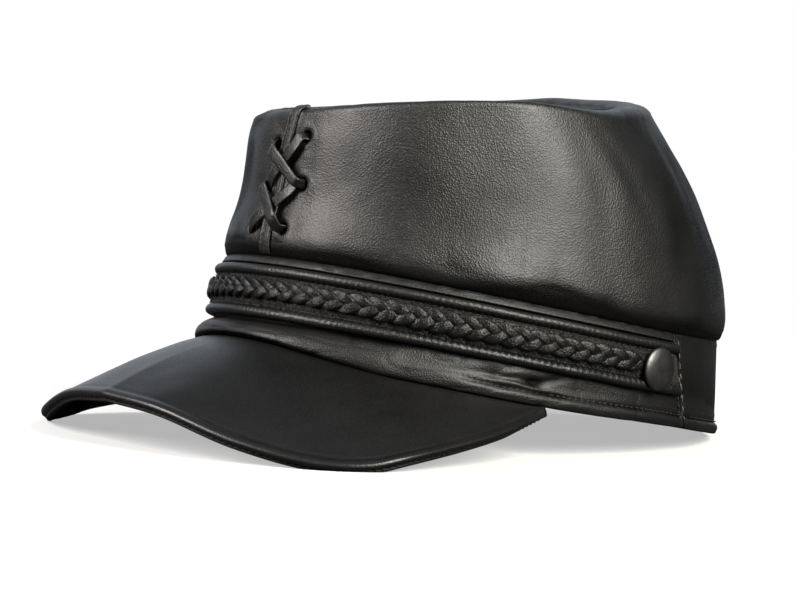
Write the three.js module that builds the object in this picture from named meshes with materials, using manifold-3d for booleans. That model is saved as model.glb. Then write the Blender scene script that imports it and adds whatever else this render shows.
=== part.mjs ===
// A black leather cap in the kepi style: a tall soft crown drawn in to a small tilted top,
// a low band with a plaited strap held by two snaps, and a drooping two-layer peak.
// Millimetres, +Z up, the peak towards -Y and the wearer's left towards +X.
// Pieces are worked out with the band's hem level, and the whole cap is then tipped to lie
// as it would by itself, on the back of its hem and the two low corners of its peak.

import * as THREE from 'three';
import { mergeVertices } from 'three/addons/utils/BufferGeometryUtils.js';
import Module from 'manifold-3d';

const wasm = await Module();
wasm.setup();

// Leather and clearances
const leather = 2.0;
const gap = 0.3;

// Band: half axes of its oval at the hem, height, and how far each part leans in at the top
const bandFrontReach = 105;
const bandBackReach = 103.5;
const bandHalfWidth = 86;
const frontLean = 3;
const backLean = 9.5;
const sideLean = 1;
const sideDip = 2;
const sideDrop = 1.7;
const hemFold = 0.8;
const seamAngle = 18;
const seamSlant = 4;
const seamClearance = 0.36;
const endTightness = 8;

// Fold of the band that puffs out over the peak's root
const puffReach = 7;
const puffSpan = 62;
const lipRise = 3.1;
const lipSpan = 45;

// Strap, with a rolled edge above and below, and the plait along its middle
const strapBottom = 10.9;
const strapWidth = 19.2;
const strapThickness = 1.8;
const strapClearance = 1.3;
const strapShort = 4.0;
const rollHeight = 4.0;
const rollWidth = 4.0;
const plaitWidth = 8;
const plaitHeight = 2.8;
const plaitPitch = 5.8;
const plaitFromSnap = 4.5;
const puffTop = strapBottom - strapClearance;

// Snaps over the strap's two ends
const snapFromSeam = 19.6;
const snapBelowMiddle = 1.1;
const snapHeight = strapBottom + 0.5 * strapWidth - snapBelowMiddle;
const snapRadius = 8;
const snapDome = 2.4;
const snapPostRadius = 2.1;
const snapFlangeRadius = 4.5;
const snapFlange = 1.0;

// Crown: its lower edge over the band, the outline of its top and the height of the rim
const edgeAboveStrap = 3.4;
const bandTuck = 6.5;
const crownEdge = strapBottom + strapWidth + edgeAboveStrap;
const bandHeight = crownEdge + bandTuck;
const crownBackRise = 2.6;
const crownOut = 2.7;
const crownTurnUp = 5.5;
const topHalfLength = 71.5;
const topHalfWidth = 73.5;
const topForward = 32;
const rimFront = 87.8;
const rimBack = 118.8;
const rimRound = 4.8;
const seamInset = 9.6;
const seamSag = 0.75;
const topSag = 3;
const topHollow = 1.2;
const softness = 2.0;
const topTurnDown = 4;

// Raised strip over the crown's front seam
const stripWidth = 5.4;
const stripThickness = 0.9;
const stripDrift = 3.3;
const stripBevel = 0.6;

// Lacing through the front of the crown
const holeDiameter = 5.2;
const laceWidth = 4.5;
const laceThickness = 0.8;
const laceTail = 6;
const laceApart = 0.85;

// Peak: how far it stands out beside the band, its reach ahead of the band, and its droop
// under the level of the hem
const peakOverhang = 10.6;
const peakHalfWidth = bandHalfWidth + peakOverhang;
const peakReach = 56.6;
const peakDrop = 36;
const peakRootSpan = 72;
const peakCamber = 2.4;
const upperThickness = 1.8;
const liningThickness = 1.5;
const beadRadius = 1.4;
const rootTuck = 0.2;
const rootReach = 0.95;
const peakEndCut = 5;

// How much of the leather is pressed flat where the cap rests
const restFlat = 0.45;

const leatherColor = 0x1b1b1d;
const metalColor = 0x4a4c50;

// How finely each piece is divided
const crownSteps = 48;
const topSteps = 40;
const bandFrontSteps = 40;
const bandBackSteps = 20;
const strapSteps = 40;
const peakSteps = 36;
const laceSteps = 50;
const holeSides = 10;
const snapSides = 16;
const settleSteps = 40;

// Height of the rim round the crown, as a share of the way from rimFront to rimBack;
// 0 is the wearer's left. The right side has sunk a little lower than the left.
const rimRows = [
  { angle: -180, rise: 0.39 },
  { angle: -150, rise: 0.17 },
  { angle: -120, rise: 0.02 },
  { angle: -90, rise: 0.0 },
  { angle: -60, rise: 0.1 },
  { angle: -30, rise: 0.31 },
  { angle: 0, rise: 0.5 },
  { angle: 15, rise: 0.62 },
  { angle: 30, rise: 0.77 },
  { angle: 60, rise: 0.93 },
  { angle: 90, rise: 1.0 },
  { angle: 120, rise: 0.88 },
  { angle: 150, rise: 0.65 },
];

// The crown's wall: at each share of its height, how far it has drawn in from the band's
// outline to the top's
const wallRows = [
  { rise: 0.0, draw: 0.0 },
  { rise: 0.1, draw: 0.015 },
  { rise: 0.22, draw: 0.05 },
  { rise: 0.34, draw: 0.13 },
  { rise: 0.47, draw: 0.25 },
  { rise: 0.6, draw: 0.39 },
  { rise: 0.73, draw: 0.57 },
  { rise: 0.84, draw: 0.75 },
  { rise: 0.94, draw: 0.92 },
  { rise: 1.0, draw: 1.0 },
];

// Soft dents (and, below zero, swellings) of the crown's wall, as shares of its softness
const dentRows = [
  { angle: -90, wide: 55, rise: 0.42, tall: 0.3, depth: 0.8 },
  { angle: -32, wide: 16, rise: 0.62, tall: 0.45, depth: 0.75 },
  { angle: -58, wide: 18, rise: 0.6, tall: 0.3, depth: -0.5 },
  { angle: 2, wide: 20, rise: 0.6, tall: 0.3, depth: -0.6 },
  { angle: 34, wide: 18, rise: 0.2, tall: 0.16, depth: 0.5 },
  { angle: 150, wide: 22, rise: 0.55, tall: 0.35, depth: 0.7 },
  { angle: 205, wide: 22, rise: 0.6, tall: 0.35, depth: -0.5 },
];

// Section of the band from its outer top round the hem to its inner top. face is the share
// of the wall, fold of the hem's fold, reach of the puff, plain and puffed of the height
// between the lower edge and the strap.
const bandRows = [
  { face: 0, fold: 0, reach: 0, plain: 1.15, puffed: 1.06 },
  { face: 0, fold: 0, reach: 0.55, plain: 0.86, puffed: 0.84 },
  { face: 0, fold: 0, reach: 0.93, plain: 0.6, puffed: 0.62 },
  { face: 0, fold: 1, reach: 1.0, plain: 0.42, puffed: 0.36 },
  { face: 0, fold: 1, reach: 0.96, plain: 0.1, puffed: 0.1 },
  { face: 0, fold: 0.4, reach: 0.86, plain: 0, puffed: 0 },
  { face: 0.85, fold: 0, reach: 0.92, plain: 0, puffed: 0.02 },
  { face: 1, fold: 0, reach: 1.0, plain: 0.12, puffed: 0.28 },
  { face: 1, fold: 0, reach: 0.94, plain: 0.42, puffed: 0.44 },
  { face: 1, fold: 0, reach: 0.64, plain: 0.72, puffed: 0.68 },
  { face: 1, fold: 0, reach: 0, plain: 1.0, puffed: 0.96 },
];

// The crown's lower edge, turned in over the band: out is the share of the way from the
// band's face to the crown's, height of the turned-up edge
const turnUpRows = [
  { out: 0, height: 1 },
  { out: 0, height: 0.2 },
  { out: 0.45, height: 0 },
  { out: 0.9, height: 0.15 },
];

// Section of the strap: out as a share of the rolled edge's height, across of its width
const rollRows = [
  { out: 0.1, across: 0.12 },
  { out: 0.38, across: 0.0 },
  { out: 0.8, across: 0.1 },
  { out: 1.0, across: 0.42 },
  { out: 0.86, across: 0.8 },
];

// Section of the plait: across as a share of half its width, out of its height. swell says
// which of the two staggered rows a point belongs to.
const plaitRows = [
  { swell: 'lower', across: 1, out: 0 },
  { swell: 'lower', across: 0.7, out: 0.9 },
  { swell: 'middle', across: 0, out: 0.62 },
  { swell: 'upper', across: 0.7, out: 0.9 },
  { swell: 'upper', across: 1, out: 0 },
];
const plaitPinch = 0.8;

// Domed cap of a snap, from its underside to its middle
const domeRows = [
  { across: 0.94, rise: 0 },
  { across: 1.0, rise: 0.25 },
  { across: 0.96, rise: 0.45 },
  { across: 0.7, rise: 0.84 },
  { across: 0.35, rise: 0.97 },
  { across: 0, rise: 1.0 },
];

// A lace's way, out of its first hole and into its fourth. share runs from one hole to the
// next; level is tail, inside, wall, near (just over the wall), beside (over the other
// lace) or cross (over the seam strip); drift is in millimetres along the way. wide is the
// share of the lace's width that shows, as it folds narrower to pass a hole.
const laceRows = [
  { from: 0, share: 0, level: 'tail', drift: 0, wide: 0.66, flat: true },
  { from: 0, share: 0, level: 'inside', drift: -0.3, wide: 0.66, flat: true },
  { from: 0, share: 0, level: 'wall', drift: 0, wide: 0.66, flat: true },
  { from: 0, share: 0, level: 'near', drift: 1.35, wide: 0.7, flat: true },
  { from: 0, share: 0.2, level: 'cross', drift: 0, wide: 0.95, flat: true },
  { from: 0, share: 0.5, level: 'cross', drift: 0, wide: 1.0, flat: true },
  { from: 0, share: 0.82, level: 'cross', drift: 0, wide: 0.9, flat: true },
  { from: 1, share: 0, level: 'beside', drift: -0.75, wide: 0.7, flat: true },
  { from: 1, share: 0, level: 'wall', drift: 0, wide: 0.66, flat: false },
  { from: 1, share: 0, level: 'inside', drift: -1.8, wide: 0.66, flat: false },
  { from: 1, share: 0.5, level: 'inside', drift: 0, wide: 0.66, flat: false },
];

// The peak's edge from the middle of its front to its root: across as a share of the half
// width, ahead of the reach (below zero it is behind the band's front), drop of the droop
const edgeRows = [
  { across: 0.0, ahead: 1.0, drop: 0.69 },
  { across: 0.284, ahead: 0.928, drop: 0.745 },
  { across: 0.594, ahead: 0.723, drop: 0.925 },
  { across: 0.845, ahead: 0.424, drop: 1.0 },
  { across: 0.96, ahead: 0.178, drop: 0.94 },
  { across: 1.0, ahead: -0.032, drop: 0.82 },
  { across: 0.985, ahead: -0.447, drop: 0.617 },
  { across: 0.94, ahead: -0.862, drop: 0.406 },
  { across: 0.868, ahead: -1.29, drop: 0.14 },
];

// Lace holes: angle round the crown and share of the wall's height
const holes = {
  topLeft: { angle: -94.3, rise: 0.73 },
  topRight: { angle: -82.3, rise: 0.77 },
  middleLeft: { angle: -93.8, rise: 0.43 },
  middleRight: { angle: -81.8, rise: 0.45 },
  lowLeft: { angle: -97.4, rise: 0.13 },
  lowRight: { angle: -85.1, rise: 0.14 },
};

const radians = THREE.MathUtils.degToRad;
const clamp = THREE.MathUtils.clamp;
const lerp = THREE.MathUtils.lerp;
const smoothstep = THREE.MathUtils.smoothstep;

// A cubic through the rows of a table; span is the length of a full turn, or 0 for an open one
function through(rows, key, column, at, span = 0) {
  const count = rows.length;
  const row = (i) => {
    const turns = span ? Math.floor(i / count) : 0;
    const index = span ? i - turns * count : clamp(i, 0, count - 1);
    return { key: rows[index][key] + turns * span, value: rows[index][column] };
  };
  let place = at;
  if (span) place = rows[0][key] + THREE.MathUtils.euclideanModulo(at - rows[0][key], span);
  let i = 0;
  while (i < count - (span ? 1 : 2) && row(i + 1).key <= place) i += 1;
  const [before, from, to, after] = [row(i - 1), row(i), row(i + 1), row(i + 2)];
  const width = to.key - from.key;
  const t = clamp((place - from.key) / width, 0, 1);
  const slope = (a, b) => (b.key === a.key ? 0 : (b.value - a.value) / (b.key - a.key));
  const m0 = slope(before, to) * width;
  const m1 = slope(from, after) * width;
  const rest = 1 - t;
  return from.value * (1 + 2 * t) * rest * rest + m0 * t * rest * rest
    + to.value * t * t * (3 - 2 * t) - m1 * t * t * rest;
}

// Degrees that a length takes along the band's side
function degreesOf(length) {
  return THREE.MathUtils.radToDeg(length / bandFrontReach);
}

// A share that is 1 at the front and falls to 0 at span degrees from it
function frontShare(angle, span) {
  const away = Math.abs(THREE.MathUtils.euclideanModulo(angle + 270, 360) - 180);
  return Math.cos(radians(clamp(away / span, 0, 1) * 90)) ** 2;
}

// A point off the band's face: angle 0 is the wearer's left and -90 the front
function bandPoint(angle, out, height) {
  const a = radians(angle);
  const share = Math.max(height, 0) / bandHeight;
  const reach = Math.sin(a) > 0 ? bandBackReach - backLean * share : bandFrontReach - frontLean * share;
  const width = bandHalfWidth - sideLean * share;
  const normal = new THREE.Vector2(Math.cos(a) / bandHalfWidth, Math.sin(a) / bandFrontReach).normalize();
  return new THREE.Vector3(
    width * Math.cos(a) + normal.x * out,
    reach * Math.sin(a) + normal.y * out,
    height - sideDip * Math.cos(a) ** 2,
  );
}

// Height of the band's lower edge, which rises over the peak's root and dips beside it
function lowerEdge(angle) {
  const front = frontShare(angle, lipSpan);
  const side = smoothstep(-Math.sin(radians(angle)), -0.25, 0.35);
  return lipRise * front - sideDrop * side * (1 - front);
}

// Outward-facing geometry from points and triangles
function solid(points, triangles) {
  let volume = 0;
  for (let i = 0; i < triangles.length; i += 3) {
    const [a, b, c] = [points[triangles[i]], points[triangles[i + 1]], points[triangles[i + 2]]];
    volume += a.dot(b.clone().cross(c));
  }
  const index = volume > 0 ? triangles : triangles.slice().reverse();
  const geometry = new THREE.BufferGeometry();
  geometry.setAttribute('position', new THREE.Float32BufferAttribute(points.flatMap((p) => p.toArray()), 3));
  geometry.setIndex(index);
  geometry.computeVertexNormals();
  return geometry;
}

// Triangles between two neighbouring loops of points
function stripBetween(here, next, across, triangles) {
  for (let j = 0; j < across; j += 1) {
    const k = (j + 1) % across;
    triangles.push(here + j, next + j, next + k, here + j, next + k, here + k);
  }
}

// Triangles that close a loop of points, wound as the loop is
function capTriangles(loop) {
  const normal = new THREE.Vector3();
  loop.forEach((p, i) => normal.add(p.clone().cross(loop[(i + 1) % loop.length])));
  normal.normalize();
  const side = loop[1].clone().sub(loop[0]).cross(normal).normalize();
  const up = normal.clone().cross(side);
  const flat = loop.map((p) => new THREE.Vector2(p.dot(side), p.dot(up)));
  const turn = Math.sign(THREE.ShapeUtils.area(flat));
  return THREE.ShapeUtils.triangulateShape(flat, []).map((t) => {
    const [a, b, c] = t.map((i) => flat[i]);
    const area = (b.x - a.x) * (c.y - a.y) - (c.x - a.x) * (b.y - a.y);
    return Math.sign(area) === turn ? t : [t[0], t[2], t[1]];
  });
}

// A closed skin over rows of loops: it closes on itself, or both ends are capped
function skin(rows, closed = false) {
  const across = rows[0].length;
  const triangles = [];
  const steps = closed ? rows.length : rows.length - 1;
  for (let i = 0; i < steps; i += 1) {
    stripBetween(i * across, ((i + 1) % rows.length) * across, across, triangles);
  }
  if (!closed) {
    const last = (rows.length - 1) * across;
    capTriangles(rows[0]).forEach((t) => triangles.push(...t));
    capTriangles(rows.at(-1)).forEach((t) => triangles.push(t[0] + last, t[2] + last, t[1] + last));
  }
  return solid(rows.flat(), triangles);
}

// A closed skin over rings, with a point at each end
function pod(first, rings, last) {
  const across = rings[0].length;
  const points = [...rings.flat(), first, last];
  const triangles = [];
  for (let i = 0; i < rings.length - 1; i += 1) stripBetween(i * across, (i + 1) * across, across, triangles);
  const end = (rings.length - 1) * across;
  for (let j = 0; j < across; j += 1) {
    const k = (j + 1) % across;
    triangles.push(points.length - 2, j, k, points.length - 1, end + k, end + j);
  }
  return solid(points, triangles);
}

// Unit normals of a grid of points; rows close on themselves when closed is set
function gridNormals(grid, closed) {
  const count = grid.length;
  return grid.map((row, i) => row.map((point, j) => {
    const before = grid[closed ? (i + count - 1) % count : Math.max(i - 1, 0)][j];
    const after = grid[closed ? (i + 1) % count : Math.min(i + 1, count - 1)][j];
    const along = after.clone().sub(before);
    const across = row[Math.min(j + 1, row.length - 1)].clone().sub(row[Math.max(j - 1, 0)]);
    return along.cross(across).normalize();
  }));
}

// Points moved along their normals
function offsetGrid(grid, normals, distance) {
  return grid.map((row, i) => row.map((p, j) => p.clone().addScaledVector(normals[i][j], distance)));
}

// Angles from one to another in equal steps
function steps(from, to, count) {
  return Array.from({ length: count + 1 }, (_, i) => lerp(from, to, i / count));
}

function manifoldOf(geometry) {
  const bare = geometry.clone();
  bare.deleteAttribute('normal');
  bare.deleteAttribute('uv');
  const merged = mergeVertices(bare);
  return new wasm.Manifold(new wasm.Mesh({
    numProp: 3,
    vertProperties: new Float32Array(merged.attributes.position.array),
    triVerts: new Uint32Array(merged.index.array),
  }));
}

// A geometry with round holes cut through it
function pierced(geometry, tools) {
  const cut = tools.reduce((body, tool) => body.subtract(manifoldOf(tool)), manifoldOf(geometry));
  const mesh = cut.getMesh();
  const result = new THREE.BufferGeometry();
  result.setAttribute('position', new THREE.BufferAttribute(new Float32Array(mesh.vertProperties), 3));
  result.setIndex(new THREE.BufferAttribute(new Uint32Array(mesh.triVerts), 1));
  result.computeVertexNormals();
  return result;
}

// A rod through a place, along a direction, for cutting a hole
function rod(place, direction, radius, length, sides) {
  const turn = new THREE.Quaternion().setFromUnitVectors(new THREE.Vector3(0, 1, 0), direction);
  const geometry = new THREE.CylinderGeometry(radius, radius, length, sides);
  return geometry.applyQuaternion(turn).translate(place.x, place.y, place.z);
}

// Outward direction of the band at a snap, and the snap's seat on the band's face
function snapSeat(angle) {
  const seat = bandPoint(angle, 0, snapHeight);
  return { seat, outward: bandPoint(angle, 1, snapHeight).sub(seat).normalize() };
}

const snapAngle = seamAngle - degreesOf(snapFromSeam);
const snapAngles = { snap_left: snapAngle, snap_right: -180 - snapAngle };

function snapHoles() {
  return Object.values(snapAngles).map((angle) => {
    const { seat, outward } = snapSeat(angle);
    return rod(seat, outward, snapPostRadius + gap, 6 * rollHeight, snapSides);
  });
}

// Crown

function crownEdgeHeight(angle) {
  return crownEdge + crownBackRise * Math.max(Math.sin(radians(angle)), 0) ** 2;
}

function rimHeight(angle) {
  return lerp(rimFront, rimBack, through(rimRows, 'angle', 'rise', angle, 360));
}

// A point of the top's outline, drawn in towards its middle by inset
function topPoint(angle, inset, height) {
  const a = radians(angle);
  return new THREE.Vector3(
    (topHalfWidth - inset) * Math.cos(a),
    (topHalfLength - inset) * Math.sin(a) - topForward,
    height,
  );
}

// How far the wall is dented in at an angle and a share of its height
function dent(angle, rise) {
  return dentRows.reduce((sum, row) => {
    const turn = THREE.MathUtils.euclideanModulo(angle - row.angle + 180, 360) - 180;
    const spread = (turn / row.wide) ** 2 + ((rise - row.rise) / row.tall) ** 2;
    return sum + row.depth * softness * Math.exp(-spread);
  }, 0);
}

// A point off the crown's outer wall, at a share of its height
function crownPoint(angle, rise, out = 0) {
  const a = radians(angle);
  const foot = bandPoint(angle, crownOut, crownEdgeHeight(angle) + 0.5 * crownTurnUp);
  const head = topPoint(angle, 0, rimHeight(angle));
  const draw = through(wallRows, 'rise', 'draw', rise);
  const point = foot.clone().lerp(head, draw).setZ(lerp(foot.z, head.z, rise));
  const push = out - dent(angle, rise) * smoothstep(rise, 0, 0.15);
  return point.add(new THREE.Vector3(Math.cos(a), Math.sin(a), 0).multiplyScalar(push));
}

// Height of the top surface under the rim, at a share of the way out from its middle
function topHeight(angle, share) {
  const middle = lerp(rimFront, rimBack, 0.5) - topSag;
  return lerp(middle, rimHeight(angle) - seamSag, share ** topHollow);
}

function topShare(inset) {
  return 1 - inset / topHalfWidth;
}

// The rounded rim, from the wall over to the seam round the top panel
function rimPoint(angle, share) {
  const below = crownPoint(angle, 1 - rimRound / (rimHeight(angle) - crownEdgeHeight(angle)));
  const corner = topPoint(angle, 0, rimHeight(angle));
  const over = topPoint(angle, seamInset, topHeight(angle, topShare(seamInset)));
  return new THREE.QuadraticBezierCurve3(below, corner, over).getPoint(share);
}

const wallRises = [0.02, 0.13, 0.27, 0.41, 0.55, 0.69, 0.82];
const rimShares = [0, 0.25, 0.5, 0.75, 1];

function crownSection(angle) {
  return [
    ...wallRises.map((rise) => crownPoint(angle, rise)),
    ...rimShares.map((share) => rimPoint(angle, share)),
  ];
}

function crownSide() {
  const angles = steps(-180, 180, crownSteps).slice(0, -1);
  const outer = angles.map(crownSection);
  const inner = offsetGrid(outer, gridNormals(outer, true), -leather);
  const rows = angles.map((angle, i) => {
    const edge = crownEdgeHeight(angle);
    const lip = ({ out, height }) => bandPoint(angle, lerp(gap, crownOut, out), edge + height * crownTurnUp);
    const seam = outer[i].at(-1);
    const flange = seam.clone().add(new THREE.Vector3(0, 0, -topTurnDown));
    const flangeInner = inner[i].at(-1).clone().setZ(flange.z);
    return [
      ...outer[i],
      flange,
      flangeInner,
      ...inner[i].filter((_, j) => j % 2 === 1).reverse(),
      ...turnUpRows.map(lip),
    ];
  });
  const cutters = Object.values(holes).map(({ angle, rise }) => {
    const place = crownPoint(angle, rise);
    const outward = crownPoint(angle, rise, 1).sub(place).normalize();
    return rod(place, outward, 0.5 * holeDiameter, 6 * leather, holeSides);
  });
  return pierced(skin(rows, true), cutters);
}

// The top panel, its edge turned down beside the crown's
function crownTop() {
  const angles = steps(-180, 180, topSteps).slice(0, -1);
  const inset = seamInset + gap;
  const ring = (extra, drop) => angles.map((angle) => {
    const share = topShare(inset + extra);
    return topPoint(angle, inset + extra, topHeight(angle, share) - drop);
  });
  const inwards = [0.35, 0.65].map((share) => share * (topHalfWidth - inset));
  const middle = new THREE.Vector3(0, -topForward, topHeight(0, 0));
  const rings = [
    ...inwards.toReversed().map((extra) => ring(extra, leather)),
    ring(leather, leather),
    ring(leather, topTurnDown),
    ring(0, topTurnDown),
    ring(0, 0.3 * leather),
    ring(0.3 * leather, 0),
    ...inwards.map((extra) => ring(extra, 0)),
  ];
  return pod(middle.clone().setZ(middle.z - leather), rings, middle);
}

// The strip over the front seam, from the crown's lower edge over the rim
function frontSeamStrip() {
  const half = THREE.MathUtils.radToDeg(0.5 * stripWidth / bandHalfWidth);
  const places = [
    ...[0.0, ...wallRises].map((rise) => ({ rise })),
    ...rimShares.slice(0, 4).map((share) => ({ share })),
  ];
  const rows = places.map(({ rise, share }) => {
    const drift = THREE.MathUtils.radToDeg(stripDrift / bandHalfWidth) * smoothstep(rise ?? 1, 0.5, 1);
    const at = (side) => {
      const angle = -90 + drift + side * half;
      return share === undefined ? crownPoint(angle, rise) : rimPoint(angle, share);
    };
    const [left, middle, right] = [at(-1), at(0), at(1)];
    const up = rise === undefined ? rimUp(share) : new THREE.Vector3(0, -1, 0);
    const lift = (p, by) => p.clone().addScaledVector(up, by);
    return [
      lift(left, gap),
      lift(left, gap + stripBevel * stripThickness),
      lift(middle, gap + stripThickness),
      lift(right, gap + stripBevel * stripThickness),
      lift(right, gap),
      lift(middle, gap),
    ];
  });
  return skin(rows);
}

// Outward direction of the rim at the front, where it turns almost level
function rimUp(share) {
  const turn = radians(81 * share);
  return new THREE.Vector3(0, -Math.cos(turn), Math.sin(turn));
}

// A flat thong along places, each with a point, the direction of its width and its share
function thong(places, count) {
  const route = new THREE.CatmullRomCurve3(places.map((p) => p.point), false, 'centripetal');
  const rows = [];
  for (let i = 0; i <= count; i += 1) {
    const t = i / count;
    const position = t * (places.length - 1);
    const from = Math.min(Math.floor(position), places.length - 2);
    const [here, next] = [places[from], places[from + 1]];
    const width = here.width.clone().lerp(next.width, position - from);
    const wide = lerp(here.wide, next.wide, position - from) * laceWidth;
    const tangent = route.getTangent(t);
    width.addScaledVector(tangent, -width.dot(tangent)).setLength(0.5 * wide);
    const thick = tangent.clone().cross(width).setLength(0.5 * laceThickness);
    const at = (a, b) => route.getPoint(t).addScaledVector(width, a).addScaledVector(thick, b);
    rows.push([at(-1, -1), at(1, -1), at(1, 1), at(-1, 1)]);
  }
  return skin(rows);
}

// One lace: out of its first hole, across to the second and in, behind the wall to the
// third and out, across to the fourth and in. layer 0 lies under layer 1.
function lace(names, layer) {
  const ends = names.map((name) => holes[name]);
  const vertical = new THREE.Vector3(0, 0, 1);
  const step = layer * (laceThickness + 3 * gap);
  const near = 2 * gap + 0.5 * laceThickness;
  const inside = -leather - 2 * gap - 0.5 * laceThickness - step;
  const levels = {
    tail: inside,
    inside,
    wall: -0.5 * leather,
    near,
    beside: near + 1.4 * step,
    cross: near + stripThickness + gap + step,
  };
  const apart = THREE.MathUtils.radToDeg((layer ? laceApart : -laceApart) / bandHalfWidth);
  const way = (row, order) => {
    const [here, next] = [ends[order[row.from]], ends[order[row.from + 1]]];
    const forwards = Math.sign(ends[order[1]].angle - ends[order[0]].angle);
    const run = crownPoint(ends[order[1]].angle, ends[order[1]].rise)
      .sub(crownPoint(ends[order[0]].angle, ends[order[0]].rise));
    const width = run.cross(new THREE.Vector3(0, -1, 0)).normalize();
    const shared = row.from && !row.share ? apart : 0;
    const drift = forwards * (THREE.MathUtils.radToDeg(row.drift / bandHalfWidth) + shared);
    const tail = row.level === 'tail' ? (laceTail / (rimFront - crownEdge)) * (order[0] ? 1 : -1) : 0;
    return {
      point: crownPoint(
        lerp(here.angle, next.angle, row.share) + drift,
        lerp(here.rise, next.rise, row.share) + tail,
        levels[row.level],
      ),
      width: row.flat ? width.multiplyScalar(Math.sign(width.z)) : vertical,
      wide: row.wide,
    };
  };
  const out = laceRows.map((row) => way(row, [0, 1, 2]));
  const back = laceRows.slice(0, -1).map((row) => way(row, [3, 2, 1]));
  return thong([...out, ...back.reverse()], laceSteps);
}

// Band

function bandSection(angle, bend) {
  const puff = frontShare(angle, puffSpan);
  const low = lowerEdge(angle);
  const at = (out, height) => bandPoint(angle + bend(height), out, height);
  const body = bandRows.map((row) => {
    const out = row.fold * hemFold * (1 - puff) - row.face * leather + row.reach * puffReach * puff;
    const share = lerp(row.plain, row.puffed, puff);
    return at(out, lerp(low, puffTop, share));
  });
  return [at(0, bandHeight), ...body, at(-leather, bandHeight)];
}

// The side seams slant back towards the hem
function seamShift(height) {
  return seamSlant * (1 - 2 * height / bandHeight);
}

// How near a step is to the ends of a run: -1 at its first end, 1 at its last, 0 between
function nearEnd(i, count) {
  const place = 2 * i / count - 1;
  return Math.abs(place) ** endTightness * Math.sign(place);
}

// A run of the band between two angles, its ends cut along the slanted seams
function bandRun(from, to, count, endShift) {
  const rows = steps(from, to, count).map((angle, i) => (
    bandSection(angle, (height) => nearEnd(i, count) * endShift * seamShift(height))
  ));
  return skin(rows);
}

function bandFront() {
  const geometry = bandRun(-180 - seamAngle, seamAngle, bandFrontSteps, 1);
  return pierced(geometry, snapHoles());
}

function bandBack() {
  const start = seamAngle + degreesOf(seamClearance);
  return bandRun(start, 180 - start, bandBackSteps, -1);
}

// Strap and plait

function strap() {
  const below = rollRows.map((row) => ({ out: row.out * rollHeight, height: row.across * rollWidth }));
  const above = below.map(({ out, height }) => ({ out, height: strapWidth - height })).reverse();
  const seat = gap + strapThickness;
  const section = [
    ...below,
    { out: seat, height: rollWidth },
    { out: seat, height: strapWidth - rollWidth },
    ...above,
  ];
  const end = seamAngle - degreesOf(strapShort);
  const rows = steps(-180 - end, end, strapSteps).map((angle, i) => section.map(({ out, height }) => {
    const up = strapBottom + height;
    return bandPoint(angle + nearEnd(i, strapSteps) * seamShift(up), Math.max(out, gap), up);
  }));
  return pierced(skin(rows), snapHoles());
}

// The plait as one body: two staggered rows of swellings
function braid() {
  const base = gap + strapThickness + gap;
  const end = snapAngle - degreesOf(snapRadius + plaitFromSnap);
  const length = 0.5 * Math.PI * (bandFrontReach + bandHalfWidth) * (1 + end / 90);
  const middle = strapBottom + 0.5 * strapWidth;
  const count = 2 * Math.round(length / plaitPitch);
  const rows = steps(-180 - end, end, count).map((angle, i) => {
    const swells = { upper: i % 2 ? 1 : plaitPinch, lower: i % 2 ? plaitPinch : 1, middle: 1 };
    return plaitRows.map(({ swell, across, out }) => {
      const side = swell === 'lower' ? -1 : 1;
      const height = middle + 0.5 * side * across * swells[swell] * plaitWidth;
      return bandPoint(angle, base + out * swells[swell] * plaitHeight, height);
    });
  });
  return skin(rows);
}

// A snap: domed cap, post through strap and band, and the flange that holds it inside
function snap() {
  const inner = -leather - 2 * gap;
  const seat = rollHeight + gap;
  const profile = [
    new THREE.Vector2(0, inner - snapFlange),
    new THREE.Vector2(snapFlangeRadius, inner - snapFlange),
    new THREE.Vector2(snapFlangeRadius, inner),
    new THREE.Vector2(snapPostRadius, inner),
    new THREE.Vector2(snapPostRadius, seat),
    ...domeRows.map(({ across, rise }) => new THREE.Vector2(across * snapRadius, seat + rise * snapDome)),
  ];
  return new THREE.LatheGeometry(profile, snapSides);
}

// Peak

const edgeCurve = new THREE.CatmullRomCurve3(edgeRows.map((row) => new THREE.Vector3(
  row.across * peakHalfWidth,
  -bandFrontReach - row.ahead * peakReach,
  -row.drop * peakDrop,
)), false, 'centripetal');

// A point of the peak's reference surface: along runs from -1 to 1 round the edge, share
// from 0 at the root to 1 at the edge
function peakPoint(along, share) {
  const side = Math.sign(along) || 1;
  const angle = -90 + peakRootSpan * along;
  const reach = puffReach * frontShare(angle, puffSpan);
  const top = lowerEdge(angle) - gap - 0.5 * upperThickness;
  const level = bandPoint(angle, 0, top).z - rootTuck;
  const tucked = bandPoint(angle, -leather, 0).setZ(level);
  const root = bandPoint(angle, rootReach * reach + hemFold, 0).setZ(level);
  if (share <= 0) return tucked.lerp(root, share + 1);
  const edge = edgeCurve.getPointAt(Math.abs(along)).clone();
  edge.x *= side;
  const camber = 4 * share * (1 - share) * peakCamber * (1 - 0.5 * Math.abs(along));
  return root.lerp(edge, share).add(new THREE.Vector3(0, 0, camber));
}

const peakShares = [-1, -0.1, 0.14, 0.36, 0.6, 0.82, 0.94, 1];

function peakGrid() {
  const trim = 1 - peakEndCut / edgeCurve.getLength();
  const grid = steps(-trim, trim, peakSteps).map((along) => (
    peakShares.map((share) => peakPoint(along, share))
  ));
  return { grid, normals: gridNormals(grid, false).map((row) => row.map((n) => (n.z < 0 ? n.negate() : n))) };
}

// Points round the peak's edge at a radius, from its top side to its underside
function beadPoints(row, normals, radius, drop, turns) {
  const edge = row.at(-1);
  const up = normals.at(-1);
  const along = edge.clone().sub(row.at(-2)).normalize();
  return turns.map((turn) => edge.clone()
    .addScaledVector(up, radius * Math.cos(radians(turn)) - drop)
    .addScaledVector(along, radius * Math.sin(radians(turn))));
}

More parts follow.
